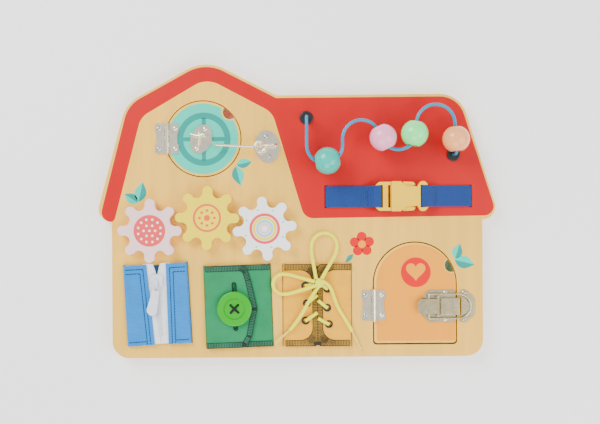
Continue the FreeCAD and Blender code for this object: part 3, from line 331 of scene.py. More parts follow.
def finish_node(node, material, bevel_mm):
    """Give a CAD node its better material and, where wanted, softer edges."""
    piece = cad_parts[node]
    for slot in piece.material_slots:
        slot.material = material
    if bevel_mm:
        bevel = piece.modifiers.new("soft_edges", "BEVEL")
        bevel.width = bevel_mm * MM
        bevel.segments = 2
        bevel.limit_method = "ANGLE"
        bevel.angle_limit = math.radians(40)
        bevel.harden_normals = False


FINISHES = (
    (BIRCH, (("front_board", 0.4), ("back_board", 0.3), ("window_door", 0.35), ("arched_door", 0.35))),
    (PINK, (("flower_gear", 0.7),)),
    (SUN_YELLOW, (("sun_gear", 0.7),)),
    (WHITE, (("rainbow_gear", 0.7),)),
    (STEEL, (("board_screws", 0.12), ("latch_pivot_pin", 0.1), ("flower_axle", 0.2), ("sun_axle", 0.2),
             ("rainbow_axle", 0.2))),
    (BRASS, (("window_door_screws", 0.12), ("arched_door_screws", 0.12), ("hinge_board_leaves", 0.18),
             ("hinge_pins", 0.15), ("window_hinge_leaf", 0.18), ("arched_hinge_leaf", 0.18),
             ("hook_base_plate", 0.3), ("hook_keeper_plate", 0.3), ("hook_base_eye", 0),
             ("hook_keeper_eye", 0), ("window_hook", 0))),
    (LATCH, (("latch_base", 0.2), ("latch_lever", 0.25), ("latch_bail", 0), ("latch_strike", 0.25))),
    (BLACK_PLASTIC, (("gear_spacers", 0.1), ("wire_grommets", 0.2), ("lace_eyelets", 0.2))),
    (TEAL_WIRE, (("bead_wire", 0),)),
    (TEAL_LACQUER, (("bead_teal", 0.5),)),
    (PINK_LACQUER, (("bead_pink", 0.5),)),
    (GREEN_LACQUER, (("bead_green", 0.5),)),
    (PEACH_LACQUER, (("bead_peach", 0.5),)),
    (BUCKLE_YELLOW, (("buckle_socket", 0.35), ("buckle_plug", 0.35), ("buckle_arm_upper", 0.4),
                     ("buckle_arm_lower", 0.4))),
    (WHITE_PLASTIC, (("zip_slider", 0.25), ("zip_pull", 0.4), ("zip_teeth", 0.2))),
    (BUTTON_GREEN, (("button", 0.3),)),
    (BRAID, (("lace_rungs", 0), ("lace_knot", 0))),
    (TIP, (("lace_tips", 0),)),
)
for material, nodes in FINISHES:
    for node, bevel in nodes:
        finish_node(node, material, bevel)


# Drawing helpers, in millimetres
def added(name, data):
    """A new object in the scene for a mesh or a curve."""
    made = bpy.data.objects.new(name, data)
    bpy.context.collection.objects.link(made)
    return made


def riding(name, data, body):
    """A new piece that moves with a body."""
    piece = added(name, data)
    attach(piece, body)
    return piece


def mesh_of(curve, material):
    """The mesh that a curve draws, in one material."""
    drawn = added(curve.name + "_drawn", curve)
    mesh = bpy.data.meshes.new_from_object(drawn)
    bpy.data.objects.remove(drawn)
    mesh.materials.clear()
    mesh.materials.append(material)
    return mesh


def baked(piece):
    """Swap a piece's mesh for the one its modifiers make."""
    evaluated = piece.evaluated_get(bpy.context.evaluated_depsgraph_get())
    mesh = bpy.data.meshes.new_from_object(evaluated)
    piece.modifiers.clear()
    piece.data = mesh
    return mesh


def mesh_piece(name, vertices, faces, material, body):
    mesh = bpy.data.meshes.new(name)
    mesh.from_pydata([(x * MM, y * MM, z * MM) for x, y, z in vertices], [], faces)
    mesh.update()
    mesh.materials.append(material)
    mesh.shade_smooth()
    return riding(name, mesh, body)


def ring_points(x, y, radius, steps=64, start=0.0, span=360.0):
    closed = abs(span) >= 360
    count = steps if closed else steps + 1
    return [(x + radius * math.cos(math.radians(start + span * i / steps)),
             y + radius * math.sin(math.radians(start + span * i / steps))) for i in range(count)]


def rounded(corners, steps=8):
    """Closed outline through (x, y, radius) corners."""
    points = []
    for i, (x, y, radius) in enumerate(corners):
        here = Vector((x, y))
        if not radius:
            points.append((x, y))
            continue
        before = (Vector(corners[i - 1][:2]) - here).normalized()
        after = (Vector(corners[(i + 1) % len(corners)][:2]) - here).normalized()
        half = before.angle(after) / 2
        centre = here + (before + after).normalized() * (radius / math.sin(half))
        first = here + before * (radius / math.tan(half)) - centre
        last = here + after * (radius / math.tan(half)) - centre
        turn = first.angle_signed(last)
        for step in range(steps + 1):
            spoke = first.copy()
            spoke.rotate(Matrix.Rotation(-turn * step / steps, 2))
            points.append(tuple(centre + spoke))
    return points


def film(name, outlines, level, body, material, thick=0.06):
    """Thin printed layer; an outline inside another is a hole in it."""
    curve = bpy.data.curves.new(name, "CURVE")
    curve.dimensions = "2D"
    curve.fill_mode = "BOTH"
    curve.extrude = thick / 2 * MM
    for outline in outlines:
        spline = curve.splines.new("POLY")
        spline.points.add(len(outline) - 1)
        for point, (x, y) in zip(spline.points, outline):
            point.co = (x * MM, y * MM, 0, 1)
        spline.use_cyclic_u = True
    mesh = mesh_of(curve, material)
    mesh.transform(Matrix.Translation((0, 0, (level + thick / 2) * MM)))
    return riding(name, mesh, body)


def strands(name, lines, radius, body, material):
    """Short threads or wires as one piece: each line is a list of (x, y, z)."""
    curve = bpy.data.curves.new(name, "CURVE")
    curve.dimensions = "3D"
    curve.bevel_depth = radius * MM
    curve.bevel_resolution = 1
    curve.use_fill_caps = True
    for points in lines:
        spline = curve.splines.new("POLY")
        spline.points.add(len(points) - 1)
        for point, spot in zip(spline.points, points):
            point.co = (spot[0] * MM, spot[1] * MM, spot[2] * MM, 1)
    mesh = mesh_of(curve, material)
    mesh.shade_smooth()
    return riding(name, mesh, body)


def turned(panel, x, y):
    """A point in a panel's own frame placed on the board."""
    turn = math.radians(panel[2])
    across, up = math.cos(turn), math.sin(turn)
    return (panel[0] + x * across - y * up, panel[1] + x * up + y * across)


def stitches(points, pitch=3.0, share=0.74):
    """Split a line of (x, y, z) points into stitches with little dips between them."""
    made = []
    for start, end in zip(points, points[1:]):
        a, b = Vector(start), Vector(end)
        count = max(1, round((b - a).length / pitch))
        for i in range(count):
            low = a.lerp(b, (i + (1 - share) / 2) / count)
            high = a.lerp(b, (i + (1 + share) / 2) / count)
            middle = (low + high) / 2
            dip = Vector((0, 0, 0.12))
            made.append([tuple(low - dip), tuple(middle + dip * 0.6), tuple(high - dip)])
    return made


# Board prints
PRINT = FACE + 0.01
OVERPRINT = PRINT + 0.07
RECESS_PRINT = 3.01
RECESS_OVERPRINT = 3.08
WINDOW = (-88.8, 68.8)
ARCH = (111.4, -70.1)
GEARS = {"flower": (-138.6, -18.1), "sun": (-84.5, -6.4), "rainbow": (-30.4, -16.8)}
GEAR_TOP = 20.6
roof_corners = [(-188.3, -9.6, 9.5), (-159.8, 101.3, 30.5), (-86, 141.7, 35.5), (-19.2, 107.0, 0.6),
                (153.8, 107.6, 24.2), (190.2, -5.8, 9.0), (7.2, -7.4, 11), (-22.8, 93.4, 19),
                (-85.1, 126.6, 23.5), (-147.8, 89.8, 19), (-173.9, -9.8, 5)]
slots = [[(x - 1.2, 2.2), (x + 1.2, 2.2), (x + 1.2, 23.4), (x - 1.2, 23.4)] for x in (27.5, 165)]
holes = [ring_points(9.5, 88.0, 4.9, 32), ring_points(148.8, 52.1, 4.9, 32)]
film("roof_paint", [rounded(roof_corners)] + slots + holes, PRINT, "board", RED)
film("window_back_print", [ring_points(*WINDOW, 36.2)], RECESS_PRINT, "board", RECESS_PINK)
arch_back = ring_points(*ARCH, 39.6, 48, 0, 180) + [(ARCH[0] - 39.6, -127.6), (ARCH[0] + 39.6, -127.6)]
film("arch_back_print", [arch_back], RECESS_PRINT, "board", RECESS_TEAL)
back_dots = [ring_points(WINDOW[0] + 11 * i, WINDOW[1] + 11 * j, 2.2, 20)
             for i in range(-2, 3) for j in range(-2, 3) if abs(i) + abs(j) < 4]
film("window_back_dots", back_dots, RECESS_OVERPRINT, "board", SOFT_PINK)
back_dots = [ring_points(ARCH[0] + 14 * i, ARCH[1] - 14 + 14 * j, 2.6, 20)
             for i in range(-2, 3) for j in range(-2, 3)]
film("arch_back_dots", back_dots, RECESS_OVERPRINT, "board", LIGHT_TEAL)


def crescent(x, y, length, width, angle, half=0):
    """Pointed leaf from its base point; half picks one side of its middle line."""
    points = []
    steps = 14
    for side in ((1, -1) if half == 0 else (half,)):
        stretch = range(steps + 1) if side == 1 or half else range(steps, -1, -1)
        for i in stretch:
            share = i / steps
            bulge = width / 2 * math.sin(math.pi * share ** 0.85)
            points.append((share * length, side * bulge))
    if half:
        points += [(length * share / 6, 0) for share in range(5, 0, -1)]
    turn = math.radians(angle)
    return [(x + a * math.cos(turn) - b * math.sin(turn), y + a * math.sin(turn) + b * math.cos(turn))
            for a, b in points]


LEAVES = [(-150.4, 9.4, 19, 11.5, 78), (-151.2, 8.6, 15, 9.5, 147), (-57.2, 43.8, 15, 9, 12),
          (-57.8, 42.6, 19, 11.5, -76), (149.4, -47.8, 19.5, 12, -14), (149.8, -46.8, 15, 10, 72)]
for number, (x, y, length, width, angle) in enumerate(LEAVES):
    film("leaf_light_%d" % number, [crescent(x, y, length, width, angle, 1)], PRINT, "board", LIGHT_TEAL)
    film("leaf_dark_%d" % number, [crescent(x, y, length, width, angle, -1)], PRINT, "board", DARK_TEAL)

# A plain five-petal flower
BLOOM = (61.5, -32.4)
for number, (x, y) in enumerate(ring_points(*BLOOM, 7.2, 5, 20)):
    film("bloom_petal_%d" % number, [ring_points(x, y, 4.6, 24)], PRINT, "board", BADGE_RED)
film("bloom_middle", [ring_points(*BLOOM, 3.6, 24)], PRINT + 0.08, "board", DOOR_YELLOW)
film("bloom_stem", [crescent(BLOOM[0] - 8.4, BLOOM[1] - 9.4, 11, 4.4, 226)], PRINT, "board", DARK_TEAL)

# Window door print
rim = ring_points(*WINDOW, 33.6, 96)
NOTCH = (WINDOW[0] + 25.4, WINDOW[1] + 25.0)
DOOR_NOTCH = (ARCH[0] + 35.0, ARCH[1] + 17.2)


def bitten(outline, x, y, radius):
    """Outline with a round bite: the points within it are swapped for its own edge."""
    inside = [math.dist(point, (x, y)) <= radius for point in outline]
    turn = next(i for i in range(len(outline)) if inside[i] and not inside[i - 1])
    outline = outline[turn:] + outline[:turn]
    inside = inside[turn:] + inside[:turn]
    kept = outline[inside.index(False):]
    first = math.atan2(kept[-1][1] - y, kept[-1][0] - x)
    last = math.atan2(kept[0][1] - y, kept[0][0] - x)
    while last > first:
        last -= 2 * math.pi
    arc = [(x + radius * math.cos(first + (last - first) * i / 16),
            y + radius * math.sin(first + (last - first) * i / 16)) for i in range(17)]
    return kept + arc


film("window_face", [bitten(rim, *NOTCH, 7.6)], PRINT, "window", LIGHT_TEAL)
PANE = (-88.0, 68.4)
pane_ring = [ring_points(*PANE, 25.3, 96), ring_points(*PANE, 19.6, 96)]
film("window_ring", pane_ring, OVERPRINT, "window", DARK_TEAL)
bar_corners = ((-1.9, -20), (1.9, -20), (1.9, 20), (-1.9, 20))
film("window_bar_up", [[(PANE[0] + a, PANE[1] + b) for a, b in bar_corners]], OVERPRINT, "window", DARK_TEAL)
film("window_bar_across", [[(PANE[0] + b, PANE[1] + a) for a, b in bar_corners]], OVERPRINT + 0.005, "window",
     DARK_TEAL)

# Arched door print
arch_face = ring_points(ARCH[0] + 0.9, ARCH[1] - 0.3, 37.4, 64, 0, 180)
arch_face += rounded([(ARCH[0] - 36.5, -70.4, 0), (ARCH[0] - 36.5, -124.4, 2), (ARCH[0] + 38.3, -124.4, 2),
                      (ARCH[0] + 38.3, -70.4, 0)])[1:-1]
film("arch_face", [bitten(arch_face, *DOOR_NOTCH, 7.5)], PRINT, "door", DOOR_YELLOW)
BADGE = (112.4, -59.4)
film("badge_disc", [ring_points(*BADGE, 14.1)], OVERPRINT, "door", BADGE_RED)


def heart(x, y, wide):
    points = []
    for i in range(64):
        t = 2 * math.pi * i / 64
        across = 16 * math.sin(t) ** 3
        up = 13 * math.cos(t) - 5 * math.cos(2 * t) - 2 * math.cos(3 * t) - math.cos(4 * t)
        points.append((x + across * wide / 32, y + (up + 2.5) * wide / 31))
    return points


film("badge_heart", [heart(*BADGE, 18.5)], OVERPRINT + 0.07, "door", DOOR_YELLOW)

# Gear prints
TOP = GEAR_TOP + 0.01
OVER_TOP = TOP + 0.07
centre = GEARS["flower"]
film("flower_disc", [ring_points(*centre, 14.9)], TOP, "flower", CORAL)
disc_dots = [centre] + ring_points(*centre, 5.4, 6) + ring_points(*centre, 10.8, 12, 15)
film("flower_dots", [ring_points(a, b, 1.15, 16) for a, b in disc_dots], OVER_TOP, "flower", WHITE)
centre = GEARS["sun"]
film("sun_ring", [ring_points(*centre, 13.2), ring_points(*centre, 11.4)], TOP, "sun", ORANGE)
sun_dots = [ring_points(a, b, 1.3, 16) for a, b in ring_points(*centre, 7.0, 8)]
film("sun_rays", sun_dots + [ring_points(*centre, 2.8, 24)], TOP, "sun", ORANGE)
centre = GEARS["rainbow"]
RINGS = ((14.4, 11.8, CORAL), (11.2, 8.8, SUN_YELLOW), (8.2, 5.8, SKY), (5.2, 2.8, SOFT_PINK))
for number, (outer, inner, material) in enumerate(RINGS):
    ring = [ring_points(*centre, outer), ring_points(*centre, inner)]
    film("rings_%d" % number, ring, TOP, "rainbow", material)
ring_dots = [ring_points(a, b, 1.0, 12) for a, b in ring_points(*centre, 18.6, 8, 20)]
film("rings_dots", ring_dots, TOP, "rainbow", SKY)


# Cloth, straps and laces
FOLD_Z = 3.85
FOLD_REACH = 9.5
SHEET = 1.2
CUT_EDGE = 0.3
PANEL_Z = FACE + 1.4
PANEL_TOP = PANEL_Z + SHEET / 2
ZIP_Z = 15.1
ZIP_TOP = ZIP_Z + SHEET / 2
ZIP = (-132.8, -87.9, 3.0)
BUTTON = (-56.1, -90.3, 1.8)
LACE = (18.6, -89.7, 0.0)
FLAP_LOW = PANEL_TOP + 0.3
FLAP_TOP = FLAP_LOW + SHEET


def puff(x, y, height=0.3):
    """Small rise and fall of cloth, in millimetres."""
    wide = noise.noise(Vector((x / 13, y / 13, 4.7)))
    fine = noise.noise(Vector((x / 4, y / 4, 1.3)))
    return height * wide + 0.3 * height * fine


def finish_sheet(piece):
    """Bake a small round onto the cut edges of a cloth mesh."""
    bevel = piece.modifiers.new("edge", "BEVEL")
    bevel.width = CUT_EDGE * MM
    bevel.segments = 2
    bevel.limit_method = "ANGLE"
    bevel.angle_limit = math.radians(50)
    baked(piece).shade_smooth()
    return piece


def centre_line(corners, bend, pitch):
    """Closely spaced points along a line whose inner corners are rounded."""
    ends = (0, len(corners) - 1)
    line = rounded([(x, z, 0 if i in ends else bend) for i, (x, z) in enumerate(corners)], 5)
    points = [Vector(line[0])]
    for spot in line[1:]:
        spot = Vector(spot)
        gap = (spot - points[-1]).length
        count = max(1, math.ceil(gap / pitch))
        start = points[-1]
        points += [start.lerp(spot, i / count) for i in range(1, count + 1)]
    return points


def swept(name, corners, thick, low, high, material, panel=(0, 0, 0), inner=None, ragged=0.0, ripple=0.0,
          bend=1.2, pitch=1.5):
    """Cloth on the board swept across y from its centre line in x and z; inner(y) trims the last run."""
    line = centre_line(corners, bend, pitch)
    normals = []
    for i, spot in enumerate(line):
        along = line[min(i + 1, len(line) - 1)] - line[max(i - 1, 0)]
        normals.append(Vector((-along.y, along.x)).normalized() * thick / 2)
    turn_x = corners[-2][0]
    end_x = corners[-1][0]
    rows = max(2, math.ceil((high - low) / pitch)) + 1
    vertices = []
    for side in (1, -1):
        for j in range(rows):
            share = j / (rows - 1)
            y = low + (high - low) * share
            edge_pull = abs(2 * share - 1) ** 6 * (1 if share > 0.5 else -1)
            for i, (spot, normal) in enumerate(zip(line, normals)):
                x = spot.x
                if inner and (x - turn_x) * (end_x - turn_x) > 0 and spot.y > FACE:
                    x = turn_x + (x - turn_x) * (inner(y) - turn_x) / (end_x - turn_x)
                lift = puff(x, y, ripple) if spot.y > FACE + 0.5 else 0
                shift = edge_pull * ragged * noise.noise(Vector((i * pitch / 5.5, share * 3, 8.1)))
                px, py = turned(panel, x + side * normal.x, y + shift)
                vertices.append((px, py, spot.y + lift + side * normal.y))
    across = len(line)
    layer = across * rows
    faces = []
    for j in range(rows - 1):
        for i in range(across - 1):
            a = j * across + i
            faces.append((a, a + 1, a + 1 + across, a + across))
            faces.append((layer + a, layer + a + across, layer + a + 1 + across, layer + a + 1))
        for a, flip in ((j * across, False), (j * across + across - 1, True)):
            quad = (a, a + across, layer + a + across, layer + a)
            faces.append(quad[::-1] if flip else quad)
    for i in range(across - 1):
        for a, flip in ((i, True), ((rows - 1) * across + i, False)):
            quad = (a, a + 1, layer + a + 1, layer + a)
            faces.append(quad[::-1] if flip else quad)
    piece = finish_sheet(mesh_piece(name, vertices, faces, material, "board"))
    return piece, sum((b - a).length for a, b in zip(line, line[1:]))


def lay_flat(name, outlines, low, high, material, body, panel):
    """Cloth cut to an outline with optional holes, lying level in a panel's frame."""
    placed = [[turned(panel, x, y) for x, y in outline] for outline in outlines]
    return finish_sheet(film(name, placed, low, body, material, high - low))


def serging(name, edge, inner, level, material, body, panel, pitch=1.5, radius=0.36):
    """Serged edge: spokes between an outer line and its matching inner line, with a chain along each."""
    outer_run = []
    inner_run = []
    for i in range(len(edge) - 1):
        longest = max(math.dist(edge[i], edge[i + 1]), math.dist(inner[i], inner[i + 1]))
        count = max(1, round(longest / pitch))
        for k in range(count):
            outer_run.append(Vector(edge[i]).lerp(Vector(edge[i + 1]), k / count))
            inner_run.append(Vector(inner[i]).lerp(Vector(inner[i + 1]), k / count))

    def on_cloth(point, height):
        return turned(panel, point.x, point.y) + (level + height + puff(point.x, point.y, 0.25),)

    inner_chain = [on_cloth(point, 0.12) for point in inner_run]
    outer_chain = [on_cloth(point, 0.12) for point in outer_run]
    zigzag = []
    for i, (out_point, in_point) in enumerate(zip(outer_run, inner_run)):
        wobble = 0.12 * noise.noise(Vector((in_point.x, in_point.y, 3.3)))
        near = on_cloth(out_point.lerp(in_point, 0.04), 0.04)
        middle = on_cloth(out_point.lerp(in_point, 0.5), 0.16)
        far = on_cloth(out_point.lerp(in_point, 0.98 + wobble), 0.04)
        zigzag += [far, middle, near] if i % 2 else [near, middle, far]
    strands(name, [inner_chain, outer_chain, zigzag], radius, body, material)


def serged_border(half_x, half_y, band, seam, flare, side):
    """Matching outer and inner lines of a half panel serged on three sides: top, seam and bottom."""
    outer = [(side * half_x, half_y)]
    inner = [(side * half_x, half_y - band)]
    middle_x = seam + flare
    middle_y = half_y - band - flare
    for end in (1, -1):
        turns = range(90, -1, -10) if end == 1 else range(0, 91, 10)
        for degrees in turns:
            across, up = math.cos(math.radians(degrees)), math.sin(math.radians(degrees))
            to_seam = middle_x / across if across > 0.01 else 999
            to_end = (half_y - middle_y) / up if up > 0.01 else 999
            reach = min(to_seam, to_end)
            outer.append((side * (middle_x - reach * across), end * (middle_y + reach * up)))
            inner.append((side * (middle_x - flare * across), end * (middle_y + flare * up)))
    outer.append((side * half_x, -half_y))
    inner.append((side * half_x, -half_y + band))
    return outer, inner


def stitch_row(name, lines, level, material, body, panel, radius=0.3, pitch=2.6):
    """Rows of stitches along lines of (x, y) points in a panel's frame."""
    made = []
    for line in lines:
        points = []
        for (ax, ay), (bx, by) in zip(line, line[1:]):
            count = max(1, round(math.dist((ax, ay), (bx, by)) / pitch))
            points += [(ax + (bx - ax) * i / count, ay + (by - ay) * i / count) for i in range(count)]
        points.append(line[-1])
        spots = [turned(panel, x, y) + (level + puff(x, y, 0.3) + 0.12,) for x, y in points]
        made += stitches(spots, pitch)
    strands(name, made, radius, body, material)


def stretched(node):
    """Hide the node whose place a cloth piece drawn beside the call takes."""
    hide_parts(node)


# Strap
STRAP_LOW, STRAP_HIGH = 2.8, 22.8
STRAP_THICK = 1.4
STRAP_Z = 12.8
BAR_LOW, BAR_HIGH = 13.4, 19.1
left_line = [(37, FOLD_Z), (27.5, FOLD_Z), (27.5, STRAP_Z), (62, STRAP_Z), (67, 14.95), (73.2, BAR_HIGH),
             (79.5, BAR_HIGH), (79.5, BAR_LOW), (67.6, BAR_LOW)]
right_line = [(155.5, FOLD_Z), (165, FOLD_Z), (165, STRAP_Z), (135.6, STRAP_Z), (130.6, 14.95),
              (124.4, BAR_HIGH), (117.6, BAR_HIGH), (117.6, BAR_LOW), (129.6, BAR_LOW)]
for name, line in (("strap_left", left_line), ("strap_right", right_line)):
    piece, length = swept(name + "_webbing", line, STRAP_THICK, STRAP_LOW, STRAP_HIGH, WEBBING, bend=0.85,
                          pitch=1.2)
    stretched(name)
    if name == "strap_left":
        piece.parent = None
        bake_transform(piece)
for name, body, far, near in (("strap_stitches_right", "board", 131.6, 129.8),
                              ("strap_stitches_left", "plug", 66.0, 67.9)):
    box = [(far, 4.4), (far, 21.2), (near, 21.2), (near, 4.4)]
    stitch_row(name, [box], 15.55, WEBBING_THREAD, body, (0, 0, 0), 0.3, 2.2)


# Zip panel
def inner_left(y, away=0.0):
    """The left cloth's inner edge, or a line a little further out."""
    return -6.3 - 1.9 * y / 39 - away


def inner_right(y, away=0.0):
    return 9.5 + 0.8 * y / 39 + away


ZIP_HALF_X, ZIP_HALF_Y = 29.7, 38.1
for side, name, inner in ((-1, "left", inner_left), (1, "right", inner_right)):
    edge = side * ZIP_HALF_X
    zip_line = [(edge - side * FOLD_REACH, FOLD_Z), (edge, FOLD_Z), (edge, ZIP_Z), (inner(0), ZIP_Z)]
    piece, length = swept("zip_cloth_" + name, zip_line, SHEET, -ZIP_HALF_Y, ZIP_HALF_Y, ZIP_CLOTH, ZIP, inner,
                          0.7, 0.3)
    stretched("zip_panel_" + name)
# Backing sheet under the zip tapes; its dark colour is partly its own and partly painted shade.
backing = [(-29.3, -37), (22, -37), (22, 37), (-29.3, 37)]
piece = lay_flat("zip_backing", [backing], FACE + 0.1, FACE + 0.8, SHADED_ZIP_BACKING, "board", ZIP)
tape_outline = [(0.15, -37.4), (13, -37.4), (13, 38.8), (3.4, 38.8), (0.15, 27.2)]
for side, name in ((-1, "zip_tape_left"), (1, "zip_tape_right")):
    outline = [(1.2 + side * x, y) for x, y in tape_outline]
    piece = lay_flat(name, [outline], 13.7, 14.3, TAPE_CLOTH, "board", ZIP)
    if side == 1:
        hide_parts("zip_tapes")
navy = []
for start_x, inner in ((-28.5, inner_left), (28.5, inner_right)):
    for y, away in ((34.0, 3.6), (30.0, 6.8)):
        navy.append([(start_x, y), (inner(y, away), y), (inner(-38, away), -37.6)])
    navy.append([(start_x, -34.6), (inner(-34.6, 7.2), -34.6)])
stitch_row("zip_stitches", navy, ZIP_TOP, NAVY_THREAD, "board", ZIP, 0.36, 2.6)

# Button panel and flap
BUTTON_HALF_X, BUTTON_HALF_Y = 30.9, 38.9
button_line = [(-BUTTON_HALF_X + FOLD_REACH, FOLD_Z), (-BUTTON_HALF_X, FOLD_Z), (-BUTTON_HALF_X, PANEL_Z),
               (BUTTON_HALF_X, PANEL_Z), (BUTTON_HALF_X, FOLD_Z), (BUTTON_HALF_X - FOLD_REACH, FOLD_Z)]
piece, length = swept("button_cloth", button_line, SHEET, -BUTTON_HALF_Y, BUTTON_HALF_Y, GREEN_CLOTH, BUTTON,
                      None, 0.9, 0.25)
stretched("button_panel")
flap_outline = rounded([(-31.2, -38.9, 0.8), (5.5, -38.9, 6), (11.6, -29.5, 8), (17.8, -3, 9), (12.4, 25, 10),
                        (8.6, 38.7, 9), (-31.2, 38.7, 0.8)])
buttonhole = rounded([(-4.3, -21.4, 1), (-2.1, -21.4, 1), (-2.1, 21.4, 1), (-4.3, 21.4, 1)], 4)
piece = lay_flat("flap_cloth", [flap_outline, buttonhole], FLAP_LOW, FLAP_TOP, GREEN_CLOTH, "flap", BUTTON)
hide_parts("button_flap")
for end in (1, -1):
    edge = [(30.8, end * 38.7), (-30.8, end * 38.7)]
    inner = [(30.8, end * 33.9), (-30.8, end * 33.9)]
    where = "top" if end == 1 else "bottom"
    band = [turned(BUTTON, x, y) for x, y in edge + inner[::-1]]
    film("panel_band_" + where, [band], PANEL_TOP + 0.1, "board", SERGED_GREEN, 0.15)
    serging("panel_serging_" + where, edge, inner, PANEL_TOP + 0.15, GREEN_THREAD, "board", BUTTON)
flap_edge = rounded([(-31.0, -38.7, 0), (5.3, -38.7, 6), (11.4, -29.5, 8), (17.6, -3, 9), (12.2, 25, 10),
                     (8.4, 38.5, 9), (-31.0, 38.5, 0)])
flap_inner = rounded([(-31.0, -33.9, 0), (3.1, -33.9, 1.2), (7.0, -27.9, 3.2), (12.9, -3, 4.2), (7.6, 24, 5.2),
                      (5.0, 33.7, 4.2), (-31.0, 33.7, 0)])
band = [turned(BUTTON, x, y) for x, y in flap_edge + flap_inner[::-1]]
film("flap_band", [band], FLAP_TOP + 0.02, "flap", SERGED_GREEN, 0.12)
serging("flap_serging", flap_edge, flap_inner, FLAP_TOP, GREEN_THREAD, "flap", BUTTON)
hole_edge = rounded([(-4.9, -22.4, 1.5), (-1.5, -22.4, 1.5), (-1.5, 22.4, 1.5), (-4.9, 22.4, 1.5)], 4)
hole_edge = [(x + 0.35 * noise.noise(Vector((x, y, 2.2))), y) for x, y in hole_edge]
stitch_row("buttonhole_stitches", [hole_edge + hole_edge[:1]], FLAP_TOP, BLACK_THREAD, "flap", BUTTON,
           0.62, 1.3)

# Thread through the button
BUTTON_AT = (-3.5, -1.8)
BUTTON_LOW = FLAP_TOP + 0.5
BUTTON_HIGH = BUTTON_LOW + 3.6
THREAD_STEP = 0.62
corners = ((1, 1), (-1, 1), (-1, -1), (1, -1))
hole_places = [(BUTTON_AT[0] + side * 3.45, BUTTON_AT[1] + up * 3.45) for side, up in corners]
lines = []
for start, end in ((hole_places[0], hole_places[2]), (hole_places[1], hole_places[3])):
    run = Vector((end[0] - start[0], end[1] - start[1])).normalized()
    for i in range(3):
        shift = Vector((-run.y, run.x)) * (i - 1) * THREAD_STEP
        a = turned(BUTTON, start[0] + shift.x, start[1] + shift.y)
        b = turned(BUTTON, end[0] + shift.x, end[1] + shift.y)
        top = BUTTON_HIGH - 0.6 + (0.3 if start == hole_places[1] else 0)
        near = (a[0] * 0.86 + b[0] * 0.14, a[1] * 0.86 + b[1] * 0.14, top)
        far = (a[0] * 0.14 + b[0] * 0.86, a[1] * 0.14 + b[1] * 0.86, top)
        foot = BUTTON_LOW + 0.4
        lines.append([a + (foot,), a + (top - 0.5,), near, far, b + (top - 0.5,), b + (foot,)])
stem = turned(BUTTON, *BUTTON_AT)
lines.append([stem + (12.9,), stem + (BUTTON_LOW + 0.3,)])
piece = strands("button_cross_thread", lines, 0.48, "round_button", BLACK_THREAD)
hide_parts("button_thread")

# Lace panel
EYELETS = [(7.3, -71.3), (8.8, -87.9), (7.4, -104.3), (28.2, -74.2), (28.0, -92.2), (29.5, -107.7)]


def punch(piece, places, radius):
    """Round holes through a cloth piece."""
    vertices = []
    faces = []
    steps = 24
    for x, y in places:
        base = len(vertices)
        for level in (FACE, PANEL_TOP + 3):
            vertices += [(px * MM, py * MM, level * MM) for px, py in ring_points(x, y, radius, steps)]
        faces.append([base + i for i in range(steps)][::-1])
        faces.append([base + steps + i for i in range(steps)])
        faces += [(base + i, base + (i + 1) % steps, base + steps + (i + 1) % steps, base + steps + i)
                  for i in range(steps)]
    mesh = bpy.data.meshes.new("punch")
    mesh.from_pydata(vertices, [], faces)
    cutter = added("punch", mesh)
    cut = piece.modifiers.new("holes", "BOOLEAN")
    cut.operation = "DIFFERENCE"
    cut.solver = "EXACT"
    cut.object = cutter
    bpy.context.view_layer.update()
    baked(piece)
    bpy.data.objects.remove(cutter)


LACE_HALF_X, LACE_HALF_Y = 31.8, 38.8
EYELET_HOLE = 2.7
for side, inner, name in ((-1, 0.1, "lace_panel_left"), (1, 0.7, "lace_panel_right")):
    edge = side * LACE_HALF_X
    lace_line = [(edge - side * FOLD_REACH, FOLD_Z), (edge, FOLD_Z), (edge, PANEL_Z), (inner, PANEL_Z)]
    piece, length = swept(name + "_cloth", lace_line, SHEET, -LACE_HALF_Y, LACE_HALF_Y, GOLD_CLOTH, LACE, None,
                          0.8, 0.08)
    punch(piece, [place for place in EYELETS if (place[0] - LACE[0]) * side > 0], EYELET_HOLE)
    stretched(name)
for side, name in ((-1, "left"), (1, "right")):
    outer, inner = serged_border(31.6, 38.6, 5.2, 4.6, 12.0, side)
    outer = [(x + 0.4, y) for x, y in outer]
    inner = [(x + 0.4, y) for x, y in inner]
    band = [turned(LACE, x, y) for x, y in outer + inner[::-1]]
    film("lace_band_" + name, [band], PANEL_TOP + 0.1, "board", SERGED_GOLD, 0.15)
    serging("lace_serging_" + name, outer, inner, PANEL_TOP + 0.15, BROWN_THREAD, "board", LACE)
# Bar tack where the serged edges meet at the foot
tack = [[(15.4 + 0.9 * i, -124.2 - 0.3 * (i % 2), PANEL_TOP + 0.5), (15.8 + 0.9 * i, -127.6, PANEL_TOP + 0.5)]
        for i in range(8)]
strands("seam_tack", tack, 0.45, "board", BROWN_THREAD)

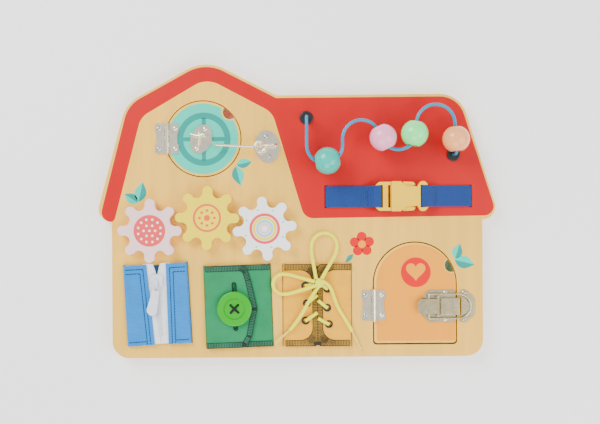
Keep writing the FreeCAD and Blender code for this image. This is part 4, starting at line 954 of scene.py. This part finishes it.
# Laces
LACE_DIAMETER = 3.4
LACES = {
    "lace_top_loop": [(17.6, -64.6, 18.6), (15.9, -54.5, 17.2), (14.2, -44.5, 15.4), (13.1, -37.0, 14.3),
                      (14.4, -27.1, 14), (22.3, -21.0, 14), (32.2, -22.3, 14), (38.3, -30.2, 14),
                      (37.0, -40.1, 14.6), (32.2, -48.4, 16.2), (27.5, -56.3, 17.6), (22.8, -64.2, 18.8)],
    "lace_left_loop": [(16.2, -67.0, 19.2), (7.8, -64.7, 18.4), (-1.0, -62.3, 16.9), (-9.6, -60.0, 16.0),
                       (-17.5, -60.0, 15.9), (-23.1, -65.6, 15.9), (-23.1, -73.4, 15.9), (-17.5, -79.0, 15.9),
                       (-9.6, -79.0, 16.0), (0.4, -76.0, 17.8), (9.6, -73.1, 20.8), (17.2, -70.6, 20.4)],
    "lace_left_tail": [(19.6, -71.8, 18.2), (13.4, -80.6, 20.2), (8.6, -89.3, 19.6), (4.0, -97.4, 17.4),
                       (-1.4, -105.8, 16.0), (-7.4, -112.8, 15.8)],
    "lace_right_tail": [(23.0, -66.4, 19.2), (29.2, -69.6, 18.6), (33.0, -76.6, 17.4), (35.4, -85.4, 16.0),
                        (39.9, -95.2, 15.8), (46.1, -104.7, 15.8), (51.2, -114.2, 15.7)],
}


def cord_line(name, points, diameter, material):
    """Round cord on the board along the smooth line that its points pull."""
    curve = bpy.data.curves.new(name, "CURVE")
    curve.dimensions = "3D"
    curve.bevel_depth = diameter / 2 * MM
    curve.bevel_resolution = 6
    curve.use_fill_caps = True
    curve.resolution_u = 16
    spline = curve.splines.new("NURBS")
    spline.points.add(len(points) - 1)
    for point, spot in zip(spline.points, points):
        point.co = (spot[0] * MM, spot[1] * MM, spot[2] * MM, 1)
    spline.order_u = 3
    spline.use_endpoint_u = True
    curve.materials.append(material)
    return riding(name, curve, "board")


for name, points in LACES.items():
    piece = cord_line(name + "_cord", points, LACE_DIAMETER, BRAID)
    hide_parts(name)

# Floor
floor_mesh = bpy.data.meshes.new("floor")
FLOOR_HALF, FLOOR_Z = 4, -0.0002
floor_corners = [(x * FLOOR_HALF, y * FLOOR_HALF, FLOOR_Z) for x, y in ((-1, -1), (1, -1), (1, 1), (-1, 1))]
floor_mesh.from_pydata(floor_corners, [], [(0, 1, 2, 3)])
floor = added("floor", floor_mesh)
floor_look = bpy.data.materials.new("floor")
floor_look.use_nodes = True
floor_sockets = floor_look.node_tree.nodes["Principled BSDF"].inputs
for socket, value in (("Base Color", (0.9, 0.9, 0.9, 1)), ("Roughness", 0.8), ("Emission Color", (1, 1, 1, 1)),
                      ("Emission Strength", 0.55)):
    floor_sockets[socket].default_value = value
floor_mesh.materials.append(floor_look)
